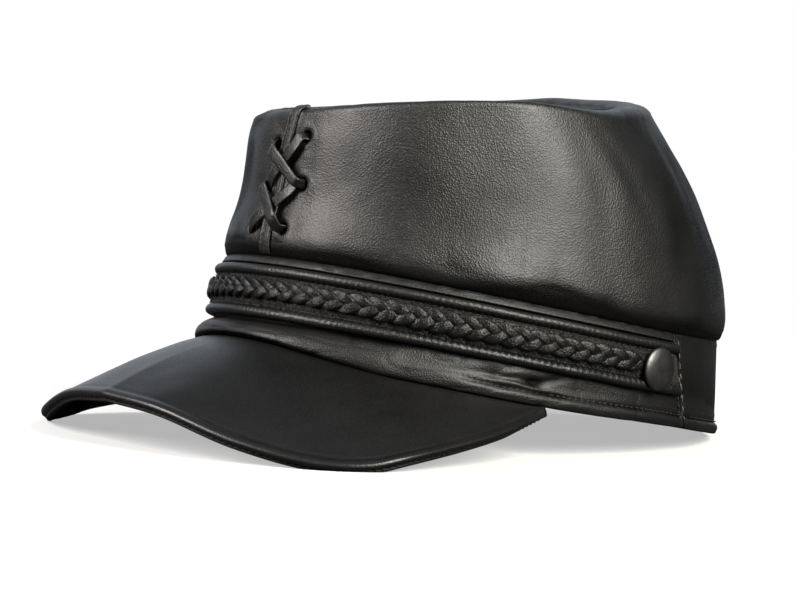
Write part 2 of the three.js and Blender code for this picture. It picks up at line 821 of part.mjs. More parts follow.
function peakUpper() {
  const { grid, normals } = peakGrid();
  const top = offsetGrid(grid, normals, 0.5 * upperThickness);
  const under = offsetGrid(grid, normals, -0.5 * upperThickness);
  const rows = grid.map((row, i) => [
    ...top[i].slice(0, -1),
    ...beadPoints(row, normals[i], beadRadius, 0, [0, 45, 90, 135, 180]),
    ...under[i].slice(0, -1).filter((_, j) => j % 2 === 0).reverse(),
  ]);
  return skin(rows);
}

function peakLining() {
  const { grid, normals } = peakGrid();
  const depth = 0.5 * upperThickness + 1.5 * gap;
  const edgeDepth = beadRadius + gap;
  const sinkRows = [
    { place: 0, down: depth },
    { place: 2, down: depth },
    { place: 4, down: depth },
    { place: 6, down: lerp(depth, edgeDepth, 0.7) },
  ];
  const sink = (row, normalRow, extra) => sinkRows.map(({ place, down }) => (
    row[place].clone().addScaledVector(normalRow[place], -down - extra)
  ));
  const rows = grid.map((row, i) => [
    ...sink(row, normals[i], 0),
    ...beadPoints(row, normals[i], 0.5 * liningThickness, edgeDepth + 0.5 * liningThickness, [0, 60, 120, 180]),
    ...sink(row, normals[i], liningThickness).reverse(),
  ]);
  return skin(rows);
}

// Assembly

function leatherMaterial(roughness) {
  return new THREE.MeshStandardMaterial({ color: leatherColor, roughness, metalness: 0, side: THREE.FrontSide });
}

const smooth = leatherMaterial(0.42);
const suede = leatherMaterial(0.7);
const metal = new THREE.MeshStandardMaterial({ color: metalColor, roughness: 0.35, metalness: 0.9 });

const pieces = [
  ['crown_side', crownSide(), smooth],
  ['crown_top', crownTop(), smooth],
  ['front_seam_strip', frontSeamStrip(), smooth],
  ['lace_over', lace(['topLeft', 'middleRight', 'middleLeft', 'lowRight'], 1), smooth],
  ['lace_under', lace(['topRight', 'middleLeft', 'middleRight', 'lowLeft'], 0), smooth],
  ['band_front', bandFront(), smooth],
  ['band_back', bandBack(), smooth],
  ['strap', strap(), suede],
  ['braid', braid(), smooth],
  ['peak_upper', peakUpper(), smooth],
  ['peak_lining', peakLining(), smooth],
];

const cap = new THREE.Group();
for (const [name, geometry, material] of pieces) {
  const mesh = new THREE.Mesh(geometry, material.clone());
  mesh.name = name;
  cap.add(mesh);
}
for (const [name, angle] of Object.entries(snapAngles)) {
  const { seat, outward } = snapSeat(angle);
  const mesh = new THREE.Mesh(snap(), metal.clone());
  mesh.name = name;
  mesh.position.copy(seat);
  mesh.quaternion.setFromUnitVectors(new THREE.Vector3(0, 1, 0), outward);
  cap.add(mesh);
}

// Lowest height of the pieces' points on one side, once the cap is tipped by an angle
function lowest(points, tip) {
  return points.reduce((low, p) => Math.min(low, p.z * Math.cos(tip) - p.y * Math.sin(tip)), Infinity);
}

function pointsOf(mesh) {
  const array = mesh.geometry.attributes.position;
  return Array.from({ length: array.count }, (_, i) => new THREE.Vector3().fromBufferAttribute(array, i));
}

// Tips the cap until the back of the hem and the peak's corners are level, stands it on
// the floor with the leather pressed flat there, and centres it over the origin
function settle(group) {
  const named = (name) => pointsOf(group.children.find((mesh) => mesh.name === name));
  const back = named('band_back');
  const front = [...named('peak_lining'), ...named('peak_upper')];
  let [less, more] = [0, radians(40)];
  for (let i = 0; i < settleSteps; i += 1) {
    const tip = 0.5 * (less + more);
    if (lowest(front, tip) < lowest(back, tip)) less = tip;
    else more = tip;
  }
  const tip = 0.5 * (less + more);
  const floor = lowest(back, tip) + restFlat;
  const turn = new THREE.Matrix4().makeRotationX(-tip);
  turn.premultiply(new THREE.Matrix4().makeTranslation(0, 0, -floor));
  const box = new THREE.Box3();
  for (const mesh of group.children) {
    mesh.updateMatrix();
    mesh.geometry.applyMatrix4(mesh.matrix).applyMatrix4(turn);
    mesh.position.set(0, 0, 0);
    mesh.quaternion.identity();
    const points = mesh.geometry.attributes.position;
    for (let i = 0; i < points.count; i += 1) points.setZ(i, Math.max(points.getZ(i), 0));
    mesh.geometry.computeBoundingBox();
    box.union(mesh.geometry.boundingBox);
  }
  const middle = box.getCenter(new THREE.Vector3());
  for (const mesh of group.children) mesh.geometry.translate(-middle.x, -middle.y, 0);
}

settle(cap);

export default cap;
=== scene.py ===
"""Dresses a soft black leather cap: drawn-in crown with a laced front seam, low band with a
puffed fold, strap with a real three-strand plait, two-layer peak and two dark snaps.

Shapes are worked out in millimetres in the cap's own frame, hem level, wearer's left at
angle 0 and the front at -90 degrees, and then tipped to lie on the floor as the frame does.
"""

import math

import bpy
import numpy as np
from bpy.props import FloatProperty, FloatVectorProperty, IntProperty, PointerProperty
from bpy.types import Operator, Panel, PropertyGroup
from mathutils import Matrix, Vector


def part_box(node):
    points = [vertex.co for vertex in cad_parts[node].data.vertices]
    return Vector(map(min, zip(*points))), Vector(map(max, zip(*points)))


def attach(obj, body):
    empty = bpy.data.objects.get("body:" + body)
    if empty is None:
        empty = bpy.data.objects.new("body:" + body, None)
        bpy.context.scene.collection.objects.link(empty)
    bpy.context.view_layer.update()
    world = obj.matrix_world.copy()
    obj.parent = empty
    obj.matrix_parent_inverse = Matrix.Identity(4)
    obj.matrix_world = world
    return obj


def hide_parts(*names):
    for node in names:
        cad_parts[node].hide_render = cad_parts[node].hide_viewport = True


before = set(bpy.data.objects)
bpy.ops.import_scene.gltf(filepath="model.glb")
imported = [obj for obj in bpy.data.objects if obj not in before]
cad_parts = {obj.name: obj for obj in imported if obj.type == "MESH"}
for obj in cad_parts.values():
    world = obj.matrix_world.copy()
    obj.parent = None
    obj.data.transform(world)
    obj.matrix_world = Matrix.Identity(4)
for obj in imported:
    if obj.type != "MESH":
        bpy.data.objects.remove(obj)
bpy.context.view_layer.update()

bl_info = {
    "name": "Leather cap",
    "version": (1, 0, 0),
    "blender": (4, 5, 0),
    "location": "View3D > Sidebar > Cap",
    "description": "Builds the leather, lacing, plait, stitches and snaps of a soft cap",
    "category": "Mesh",
}

MM = 0.001

# Leather and clearances, in millimetres
LEATHER = 2.0
GAP = 0.3

# Band: half axes of its oval, heights and leans
BAND_FRONT = 105.0
BAND_BACK = 103.5
BAND_SIDE = 86.0
FRONT_LEAN = 3.0
BACK_LEAN = 9.5
SIDE_LEAN = 1.0
SIDE_DIP = 2.0
SIDE_DROP = 1.7
HEM_FOLD = 0.8
SEAM_ANGLE = 18.0
SEAM_SLANT = 4.0
END_TIGHTNESS = 8
PUFF_REACH = 7.0
PUFF_SPAN = 62.0
LIP_RISE = 3.1
LIP_SPAN = 45.0

# Strap, plait and snaps
STRAP_BOTTOM = 10.9
STRAP_WIDTH = 19.2
STRAP_TOP = STRAP_BOTTOM + STRAP_WIDTH
STRAP_MIDDLE = STRAP_BOTTOM + 0.5 * STRAP_WIDTH
STRAP_SHORT = 4.0
ROLL_HEIGHT = 4.0
STRAP_GROOVE = 4.35
GROOVE_OUT = 1.85
SUEDE_OUT = 2.1
PUFF_TOP = STRAP_BOTTOM - 1.3
SNAP_HEIGHT = STRAP_MIDDLE - 1.1
SNAP_FROM_SEAM = 19.6
SNAP_RADIUS = 8.0
SNAP_DOME = 2.4
SNAP_POST = 2.1
SNAP_FLANGE = 4.5

# Crown: lower edge, how its foot rolls in and swells, outline of the top, heights of the rim
CROWN_EDGE = STRAP_TOP + 3.4
BAND_HEIGHT = CROWN_EDGE + 6.5
CROWN_BACK_RISE = 2.6
CROWN_OUT = 2.7
CROWN_TURN_UP = 5.5
FOOT_TUCK = 2.5
FOOT_ROUND = 9.0
FOOT_SWELL = 0.5
TOP_LENGTH = 71.5
TOP_WIDTH = 73.5
TOP_FORWARD = 32.0
RIM_FRONT = 87.8
RIM_BACK = 118.8
RIM_ROUND = 4.8
SEAM_INSET = 9.6
SEAM_SAG = 0.75
TOP_SAG = 3.0
TOP_HOLLOW = 1.2
TOP_TURN_DOWN = 4.0
SOFTNESS = 2.0

# Seam strip and lacing
STRIP_DRIFT = 3.3
HOLE_WIDTH = 4.8
THONG_THICKNESS = 0.8
THONG_APART = 0.85

# Peak
PEAK_WIDTH = BAND_SIDE + 10.6
PEAK_REACH = 56.6
PEAK_DROP = 36.0
PEAK_ROOT_SPAN = 72.0
PEAK_CAMBER = 1.8
PEAK_END_CUT = 1.2
PEAK_END_DRAW = 0.012
UPPER = 1.8
LINING = 1.5
BEAD = 1.4
EDGE_PROUD = 0.9
ROOT_TUCK = 0.2
ROOT_REACH = 0.95

# The cap lies tipped back on its hem and the peak's corners
REST_TIP = math.radians(9.556)

# Height of the rim round the crown: angle, share of the way from RIM_FRONT to RIM_BACK
RIM_ROWS = [
    (-180, 0.39), (-150, 0.17), (-120, 0.02), (-90, 0.0), (-60, 0.1), (-30, 0.31),
    (0, 0.5), (15, 0.62), (30, 0.77), (60, 0.93), (90, 1.0), (120, 0.88), (150, 0.65),
]

# The rim's soft roll stands over the plain rim by a length in mm at an angle
ROLL_ROWS = [
    (-180, 1.9), (-150, 0.7), (-120, -0.4), (-100, 0.2), (-90, 1.1), (-80, 2.1), (-60, 3.9),
    (-40, 4.5), (-20, 4.8), (-10, 4.2), (0, 3.0), (10, 1.5), (22, 0.9), (36, 0.8), (50, 1.7),
    (70, 2.7), (90, 2.6), (110, 3.7), (130, 2.7), (150, 2.4),
]

# The crown's wall: share of its height, share drawn in from the band's outline to the top's
WALL_ROWS = [
    (0.0, 0.0), (0.1, 0.015), (0.22, 0.05), (0.34, 0.13), (0.47, 0.25), (0.6, 0.39),
    (0.73, 0.57), (0.84, 0.75), (0.94, 0.92), (1.0, 1.0),
]

# Soft dents of the crown's wall: angle, width in degrees, share of height, tall, depth
DENT_ROWS = [
    (-90, 55, 0.42, 0.3, 0.8),
    (-32, 16, 0.62, 0.45, 0.75),
    (-58, 18, 0.6, 0.3, -0.5),
    (2, 20, 0.6, 0.3, -0.6),
    (34, 18, 0.2, 0.16, 0.5),
    (150, 22, 0.55, 0.35, 0.7),
    (205, 22, 0.6, 0.35, -0.5),
]

# Small folds of the crown, too fine for the solids: as above, and a lean in degrees per height.
# The last three are broad shallow dents.
FOLD_ROWS = [
    (-8, 4.0, 0.5, 0.36, 0.45, 6),
    (4, 3.5, 0.62, 0.3, 0.35, -8),
    (16, 5.0, 0.4, 0.25, 0.5, 14),
    (26, 3.6, 0.68, 0.2, -0.35, 10),
    (40, 6.0, 0.5, 0.3, 0.5, 12),
    (-44, 6.0, 0.3, 0.3, 0.25, -10),
    (-66, 7.0, 0.75, 0.2, 0.3, 8),
    (-112, 5.0, 0.6, 0.3, 0.4, 6),
    (-140, 6.0, 0.5, 0.3, 0.45, -8),
    (70, 7.0, 0.55, 0.3, 0.6, 10),
    (104, 7.0, 0.6, 0.28, 0.6, -10),
    (136, 5.0, 0.45, 0.25, 0.45, 8),
    (188, 6.0, 0.5, 0.3, 0.5, -6),
    (-134, 26.0, 0.5, 0.42, 2.0, 0),
    (-128, 30.0, 0.97, 0.1, 1.2, 0),
    (50, 26.0, 0.56, 0.38, 1.5, 0),
]

# Section of the band from its outer top round the hem to its inner top: share of the wall,
# of the hem's fold and of the puff, and height where the band is plain and where it puffs
BAND_ROWS = [
    (0, 0, 0, 1.15, 1.06),
    (0, 0, 0.55, 0.86, 0.88),
    (0, 0, 0.95, 0.62, 0.68),
    (0, 1, 1.12, 0.42, 0.4),
    (0, 1, 1.13, 0.12, 0.14),
    (0, 0.4, 0.98, 0, 0),
    (0.85, 0, 0.95, 0, 0.02),
    (1, 0, 1.0, 0.12, 0.28),
    (1, 0, 0.94, 0.42, 0.44),
    (1, 0, 0.64, 0.72, 0.68),
    (1, 0, 0, 1.0, 0.96),
]

# The band's face over the puff, out and height in mm: under the crown it stands plain, and
# over the strap it leans out to meet the strap's top
LEDGE_ROWS = [
    (0, BAND_HEIGHT), (0, BAND_HEIGHT - 1.5), (0, CROWN_EDGE + 1.2), (0.1, CROWN_EDGE),
    (0.9, STRAP_TOP + 2.5), (1.5, STRAP_TOP + 1.5), (1.75, STRAP_TOP + 0.7),
    (1.3, STRAP_TOP + 0.34), (0.2, STRAP_TOP + 0.3), (0, STRAP_TOP - 1.0), (0, STRAP_MIDDLE),
    (0, PUFF_TOP + 2.6),
]
PLAIN_ROWS = [(0, BAND_HEIGHT), (0, 38.0), (0, 33.0), (0, 27.0), (0, 20.0), (0, 14.0)]

# Folds where the puff runs out beside the peak's root: angle, width in degrees, height, how
# tall, lean in mm per degree, depth
HEM_FOLD_ROWS = [
    (-21.0, 2.3, 4.6, 1.5, 0.1, 1.5), (-24.5, 3.6, 2.6, 1.1, -0.22, -0.7),
    (-25.5, 3.4, 6.6, 1.2, 0.3, -0.55), (-17.0, 2.4, 6.4, 1.3, 0.35, 0.7),
    (-18.6, 1.8, 2.6, 1.0, -0.1, 0.5), (-30.0, 4.0, 4.6, 1.4, -0.15, 0.45),
]

# Section of the strap's lower half: out over the band and up from the strap's bottom, in mm
STRAP_ROWS = [
    (0.3, 9.6), (0.3, 6.0), (0.3, 2.4), (0.45, 0.75), (1.5, 0.05), (2.7, 0.15), (3.6, 0.75),
    (4.0, 1.7), (3.75, 2.7), (3.0, 3.5), (2.05, 3.95), (1.75, STRAP_GROOVE), (1.95, 4.85),
    (SUEDE_OUT, 5.6), (SUEDE_OUT, 7.6), (SUEDE_OUT, 9.6),
]

# Lace holes: angle round the crown, share of the wall's height
HOLES = {
    "top_left": (-94.3, 0.73), "top_right": (-82.3, 0.77),
    "middle_left": (-93.8, 0.43), "middle_right": (-81.8, 0.45),
    "low_left": (-97.4, 0.13), "low_right": (-85.1, 0.14),
}

# The two thongs: layer, and the holes that each passes
LACES = {
    "over": (1, ("top_left", "middle_right", "middle_left", "low_right")),
    "under": (0, ("top_right", "middle_left", "middle_right", "low_left")),
}

# A thong's way from its first hole: hole, share of the way to the next, level, drift in mm,
# how wide it lies, and whether its width lies across its run or stands upright
THONG_ROWS = [
    (0, 0, "tail", 0, 0.66, True),
    (0, 0, "inside", -0.3, 0.66, True),
    (0, 0, "wall", 0, 0.84, True),
    (0, 0, "near", 1.35, 0.9, True),
    (0, 0.2, "cross", 0, 1.0, True),
    (0, 0.5, "cross", 0, 1.0, True),
    (0, 0.82, "cross", 0, 0.95, True),
    (1, 0, "beside", -0.75, 0.84, True),
    (1, 0, "wall", 0, 0.76, False),
    (1, 0, "inside", -1.8, 0.6, False),
    (1, 0.5, "inside", 0, 0.6, False),
]

# The peak's edge from the middle of its front to its root: across, ahead and drop as shares
EDGE_ROWS = [
    (0.0, 1.0, 0.69), (0.284, 0.928, 0.745), (0.594, 0.723, 0.925), (0.845, 0.424, 1.0),
    (0.96, 0.178, 0.94), (1.0, -0.032, 0.82), (0.985, -0.447, 0.617), (0.94, -0.862, 0.406),
    (0.868, -1.29, 0.14),
]

# The snap's cap from under its rim to its middle: share of its radius, height over its seat
DOME_ROWS = [
    (0.93, 0.0), (0.985, 0.12), (1.0, 0.45), (0.985, 0.85), (0.93, 1.2), (0.86, 1.5),
    (0.7, 1.92), (0.5, 2.2), (0.25, 2.35), (0.04, SNAP_DOME),
]

# The crown's lip behind its edge, over the edge in mm: how far out and how high, and then the
# heights of the foot's own face
LIP_ROWS = [(GAP, 5.5), (GAP, 3.3), (GAP, 1.6), (GAP + 0.05, 0.4), (GAP + 0.2, 0.02)]
FOOT_HEIGHTS = (0.12, 0.4, 0.9, 1.6, 2.6)

# Section of the top panel's turned-down edge: inset and depth, in leathers
TURNED_ROWS = [(1.0, 1.0), (0.9, 2.0), (0.3, 2.0), (0.0, 1.8), (0.0, 1.0), (0.05, 0.4)]

# Section of the strip over the front seam: across and up in mm
STRIP_ROWS = [
    (-2.7, 0.0), (-2.72, 0.3), (-2.5, 0.72), (-2.05, 0.92), (-1.6, 0.72), (-1.25, 0.4),
    (-0.95, 0.36), (-0.65, 0.6), (-0.3, 0.8), (0.5, 0.84), (1.4, 0.84), (2.2, 0.78),
    (2.6, 0.5), (2.7, 0.2), (2.68, 0.0), (1.4, 0.0), (0.0, 0.0), (-1.4, 0.0),
]
STRIP_GROOVE = -1.1

# Plait: its level and sway over the strap, how deep its strands weave, its rise at the front
PLAIT_PERIOD = 20.0
PLAIT_FROM_SNAP = 0.8
PLAIT_OUT = 3.68
PLAIT_SWAY = 1.95
PLAIT_WEAVE = 0.58
PLAIT_RISE = 0.7
STRAND_THICKNESS = 1.3

# Stitching: pitch and how much of it a stitch takes, the hem's groove and where its rows start
# and end, the side seam's lap, edge, clearance and rounding, the ledge's and the peak's stitches
# out and up or down, and the radius of loose threads and fibres
STITCH_PITCH = 2.6
HEM_GROOVE = 4.6
HEM_START = -17.5
SEAM_LAP = 1.7
SEAM_EDGE = 1.5
SEAM_CLEAR = 0.36
END_ROUND = 0.9
EDGE_SCALE = 1.45
STITCH_SHARE = 0.72
HEM_FROM_SEAM = 3.0
BACK_HEM = 6
PEAK_STITCHES = (0.75, 0.15)
LEDGE_STITCHES = (1.62, 0.85)
THREAD_RADIUS = 0.09
FIBRE_RADIUS = 0.13

# Where loose threads stand: angle, height, spread in height, how many
THREAD_ENDS = [(18.6, 11.5, 2.0, 3), (-198.6, 11.5, 2.0, 3)]

# Camera in the cap's own frame: place in mm, the way it looks, its upward direction, lens in mm
CAMERA_PLACE = (1009.0, -857.8, -24.4)
CAMERA_AHEAD = (-0.7761, 0.6293, 0.0397)
CAMERA_UP = (-0.0775, -0.1576, 0.9845)
CAMERA_LENS = 158.15

# Lights, aimed at the cap: azimuth and elevation in degrees, width and height in metres, the
# property that holds the power, and tint
LIGHT_DISTANCE = 1.6
LIGHT_AIM = (0, 0, 0.07)
LIGHTS = {
    "left_softbox": (-17, 32, (0.6, 0.9), "left_light", (1.0, 0.95, 0.91)),
    "right_softbox": (92, 32, (0.6, 1.0), "right_light", (1.0, 0.98, 0.9)),
    "top_softbox": (30, 84, (1.6, 1.2), "top_light", (0.93, 0.96, 1.0)),
    "back_card": (-122, 22, (2.4, 1.4), "back_light", (0.82, 0.9, 1.0)),
}


# Curves and noise

def cubic(rows, column, at, turn=0.0):
    """Cubic through the rows of a table: Hermite pieces whose slopes join the neighbours.
    A turn above zero makes the table repeat."""
    table = np.array(rows, float)
    keys, values = table[:, 0], table[:, column]
    if turn:
        keys = np.concatenate([keys[-2:] - turn, keys, keys[:2] + turn])
        values = np.concatenate([values[-2:], values, values[:2]])
        at = (np.asarray(at, float) - table[0, 0]) % turn + table[0, 0]
    slopes = np.empty(len(keys))
    slopes[1:-1] = (values[2:] - values[:-2]) / (keys[2:] - keys[:-2])
    slopes[0] = (values[1] - values[0]) / (keys[1] - keys[0])
    slopes[-1] = (values[-1] - values[-2]) / (keys[-1] - keys[-2])
    at = np.asarray(at, float)
    i = np.clip(np.searchsorted(keys, at, side="right") - 1, 0, len(keys) - 2)
    width = keys[i + 1] - keys[i]
    t = np.clip((at - keys[i]) / width, 0, 1)
    rest = 1 - t
    return (
        values[i] * (1 + 2 * t) * rest**2 + slopes[i] * width * t * rest**2
        + values[i + 1] * t**2 * (3 - 2 * t) - slopes[i + 1] * width * t**2 * rest
    )


def smooth(value, low, high):
    """0 below low, 1 above high, and an S between."""
    t = np.clip((np.asarray(value, float) - low) / (high - low), 0, 1)
    return t * t * (3 - 2 * t)


def bell(value, width):
    """1 at zero, falling off as a bell of that width."""
    return np.exp(-((np.asarray(value, float) / width) ** 2))


def noise(points, size, seed):
    """Smooth noise from -1 to 1: random values on a lattice of that size in mm, eased between."""
    lattice = np.random.default_rng(seed).uniform(-1, 1, (24, 24, 24))
    place = np.asarray(points, float) / size + 100.0
    cell = np.floor(place).astype(int)
    t = place - cell
    t = t * t * (3 - 2 * t)
    total = np.zeros(place.shape[:-1])
    for corner in np.ndindex(2, 2, 2):
        index = (cell + corner) % 24
        weight = np.prod(np.where(np.array(corner) == 1, t, 1 - t), axis=-1)
        total += weight * lattice[index[..., 0], index[..., 1], index[..., 2]]
    return total


def matched(*values):
    """Numbers and arrays of matching shapes as arrays of one shape."""
    return np.broadcast_arrays(*(np.asarray(v, float) for v in values))


def together(*parts):
    """Numbers and arrays as the parts of points."""
    return np.stack(matched(*parts), -1)


def full_turn(count):
    """Even angles round a full turn, in radians."""
    return np.linspace(0, 2 * math.pi, count, endpoint=False)


def flat_oval(turn, across, up):
    """Section of a flat oval: the cosine and sine of a turn, each raised to a power that
    squares it off."""
    c, s = np.cos(turn), np.sin(turn)
    return np.stack([np.sign(c) * np.abs(c) ** across, np.sign(s) * np.abs(s) ** up], -1)


def run_of(line):
    """Distance along a line of points from its first to each of them."""
    return np.concatenate([[0], np.cumsum(np.linalg.norm(np.diff(line, axis=0), axis=1))])


def sheet_noise(across, up, seed, size=1.0):
    """Noise over a sheet, from places across and up it."""
    return noise(together(across, up, 0), size, seed)


def rounded(points, per, closed=False):
    """Centripetal Catmull-Rom curve along the first axis, per steps between each two points."""
    p = np.asarray(points, float)
    if closed:
        before, start, after, later = np.roll(p, 1, 0), p, np.roll(p, -1, 0), np.roll(p, -2, 0)
    else:
        full = np.concatenate([2 * p[:1] - p[1:2], p, 2 * p[-1:] - p[-2:-1]])
        before, start, after, later = full[:-3], full[1:-2], full[2:-1], full[3:]
    apart = [
        np.maximum(np.linalg.norm(b - a, axis=-1, keepdims=True), 1e-6) ** 0.5
        for a, b in ((before, start), (start, after), (after, later))
    ]
    leave = ((start - before) / apart[0] - (after - before) / (apart[0] + apart[1])) * apart[1]
    arrive = ((later - after) / apart[2] - (later - start) / (apart[1] + apart[2])) * apart[1]
    leave, arrive = leave + after - start, arrive + after - start
    t = (np.arange(per) / per).reshape((1, per) + (1,) * (p.ndim - 1))
    a, b, m, n = (q[:, None] for q in (start, after, leave, arrive))
    curve = (
        a * (2 * t**3 - 3 * t**2 + 1) + m * (t**3 - 2 * t**2 + t)
        + b * (3 * t**2 - 2 * t**3) + n * (t**3 - t**2)
    )
    curve = curve.reshape((-1,) + p.shape[1:])
    return curve if closed else np.concatenate([curve, p[-1:]])


def unit(vectors):
    """Vectors at a length of 1."""
    return vectors / np.maximum(np.linalg.norm(vectors, axis=-1, keepdims=True), 1e-9)


def degrees_of(length):
    """Degrees that a length takes along the band's side."""
    return math.degrees(length / BAND_FRONT)


SNAP_ANGLE = SEAM_ANGLE - degrees_of(SNAP_FROM_SEAM)


# The cap's surfaces

def front_share(angle, span):
    """1 at the front, falling to 0 at span degrees from it as a squared cosine."""
    away = np.abs((np.asarray(angle, float) + 270) % 360 - 180)
    return np.cos(np.radians(np.clip(away / span, 0, 1) * 90)) ** 2


def band_point(angle, out, height):
    """The band's oval, leaning in with height, moved out along the oval's normal; its sides
    dip by a squared cosine."""
    angle, out, height = matched(angle, out, height)
    a = np.radians(angle)
    share = np.maximum(height, 0) / BAND_HEIGHT
    back = np.sin(a) > 0
    reach = np.where(back, BAND_BACK - BACK_LEAN * share, BAND_FRONT - FRONT_LEAN * share)
    normal = unit(together(np.cos(a) / BAND_SIDE, np.sin(a) / BAND_FRONT))
    return together(
        (BAND_SIDE - SIDE_LEAN * share) * np.cos(a) + normal[..., 0] * out,
        reach * np.sin(a) + normal[..., 1] * out,
        height - SIDE_DIP * np.cos(a) ** 2,
    )


def lower_edge(angle):
    """Height of the band's lower edge: raised over the peak's root, dipped beside it."""
    front = front_share(angle, LIP_SPAN)
    side = smooth(-np.sin(np.radians(angle)), -0.25, 0.35)
    return LIP_RISE * front - SIDE_DROP * side * (1 - front)


def seam_shift(height):
    """Degrees that the slanted side seam stands behind its middle at a height."""
    return SEAM_SLANT * (1 - 2 * np.asarray(height, float) / BAND_HEIGHT)


def near_end(place):
    """-1 at the start of a run, 1 at its end and close to 0 between, for a place from 0 to 1."""
    p = 2 * np.asarray(place, float) - 1
    return np.abs(p) ** END_TIGHTNESS * np.sign(p)


def edge_height(angle):
    """Height of the crown's lower edge: it rises to the back as a squared sine."""
    return CROWN_EDGE + CROWN_BACK_RISE * np.maximum(np.sin(np.radians(angle)), 0) ** 2


def foot_tuck(above):
    """How far the crown's foot rolls in, in mm, at a height over its edge: a quarter of an
    ellipse."""
    under = np.clip(1 - np.asarray(above, float) / FOOT_ROUND, 0, 1)
    return FOOT_TUCK * (1 - np.sqrt(1 - under**2))


def plain_rim(angle):
    """Height of the rim before its soft roll, from the table of its shares."""
    return RIM_FRONT + (RIM_BACK - RIM_FRONT) * cubic(RIM_ROWS, 1, angle, 360.0)


def rim_height(angle):
    """Height of the rim with its soft roll."""
    return plain_rim(angle) + cubic(ROLL_ROWS, 1, angle, 360.0)


def top_point(angle, inset, height):
    """The top's oval, drawn in by inset."""
    a = np.radians(angle)
    y = (TOP_LENGTH - inset) * np.sin(a) - TOP_FORWARD
    return together((TOP_WIDTH - inset) * np.cos(a), y, height)


def top_height(angle, inset):
    """The top's surface: from its sunk middle up to the seam as a power of the way out."""
    share = 1 - inset / TOP_WIDTH
    middle = 0.5 * (RIM_FRONT + RIM_BACK) - TOP_SAG
    return middle + (plain_rim(angle) - SEAM_SAG - middle) * share**TOP_HOLLOW


def turn_to(angle, row_angle):
    """Degrees from a row's angle round to an angle, the short way."""
    return (angle - row_angle + 180) % 360 - 180


def dent(angle, rise):
    """Sum of bells round the wall, as deep as each row says."""
    total = np.zeros(np.broadcast(angle, rise).shape)
    for row_angle, wide, row_rise, tall, depth in DENT_ROWS:
        away = (turn_to(angle, row_angle) / wide) ** 2 + ((rise - row_rise) / tall) ** 2
        total += depth * SOFTNESS * np.exp(-away)
    return total


def crown_point(angle, rise, out=0.0):
    """The crown's wall: from the band's outline to the top's as the table draws it in, with
    its dents, moved out from the cap's middle."""
    angle, rise, out = matched(angle, rise, out)
    a = np.radians(angle)
    foot = band_point(angle, CROWN_OUT, edge_height(angle) + 0.5 * CROWN_TURN_UP)
    head = top_point(angle, 0.0, rim_height(angle))
    draw = cubic(WALL_ROWS, 1, rise)[..., None]
    point = foot + (head - foot) * draw
    point[..., 2] = foot[..., 2] + (head[..., 2] - foot[..., 2]) * rise
    push = out - dent(angle, rise) * smooth(rise, 0, 0.15)
    above = point[..., 2] - foot[..., 2] + 0.5 * CROWN_TURN_UP
    push = push - foot_tuck(above) + FOOT_SWELL * bell(above - 10.0, 7.0)
    return point + together(np.cos(a), np.sin(a), 0) * push[..., None]


def rim_point(angle, share):
    """The rounded rim: a quadratic curve from the wall over to the seam of the top panel."""
    angle, share = matched(angle, share)
    below = crown_point(angle, 1 - RIM_ROUND / (rim_height(angle) - edge_height(angle)))
    corner = top_point(angle, 0.0, rim_height(angle))
    over = top_point(angle, SEAM_INSET, top_height(angle, SEAM_INSET))
    t = share[..., None]
    return below * (1 - t) ** 2 + corner * 2 * t * (1 - t) + over * t**2


def peak_edge(place):
    """A point of the peak's edge, place from 0 at its front to 1 at its root."""
    across, ahead, drop = np.array(EDGE_ROWS).T
    rows = together(across * PEAK_WIDTH, -BAND_FRONT - ahead * PEAK_REACH, -drop * PEAK_DROP)
    line = rounded(rows, 24)
    length = run_of(line)
    at = np.asarray(place) * length[-1]
    return np.stack([np.interp(at, length, line[:, k]) for k in range(3)], -1), length[-1]


def peak_point(along, share):
    """The peak's middle surface: straight from the band's root to the edge with a low camber;
    below a share of 0 it runs on under the band."""
    along, share = matched(along, share)
    angle = -90 + PEAK_ROOT_SPAN * along
    reach = PUFF_REACH * front_share(angle, PUFF_SPAN)
    top = lower_edge(angle) - GAP - 0.5 * UPPER
    level = band_point(angle, 0.0, top)[..., 2] - ROOT_TUCK
    tucked = band_point(angle, -LEATHER, 0.0)
    root = band_point(angle, ROOT_REACH * reach + HEM_FOLD, 0.0)
    tucked[..., 2] = root[..., 2] = level
    edge = peak_edge(np.abs(along))[0]
    edge[..., 0] *= np.where(along < 0, -1, 1)
    t = share[..., None]
    point = np.where(t <= 0, tucked + (root - tucked) * (t + 1), root + (edge - root) * t)
    s = np.maximum(share, 0)
    point[..., 2] += 4 * s * (1 - s) * PEAK_CAMBER * (1 - 0.5 * along**2)
    return point


def grid_normals(grid, closed_rows=False):
    """Unit normals of a grid of points: along the rows crossed with across them."""
    if closed_rows:
        along = np.roll(grid, -1, 0) - np.roll(grid, 1, 0)
    else:
        along = np.gradient(grid, axis=0)
    return unit(np.cross(along, np.gradient(grid, axis=1)))


# From the cap's own millimetres to the frame

def tipped(points):
    """The cap turned back about X by its rest tip."""
    c, s = math.cos(REST_TIP), math.sin(REST_TIP)
    x, y, z = np.moveaxis(np.asarray(points, float), -1, 0)
    return together(x, c * y + s * z, c * z - s * y)


def ring_round(axis, turn):
    """A unit ring about an axis: cosine of a turn along its level side, sine across that."""
    side = unit(np.cross([0, 0, 1.0], axis))
    return np.cos(turn) * side + np.sin(turn) * np.cross(axis, side)


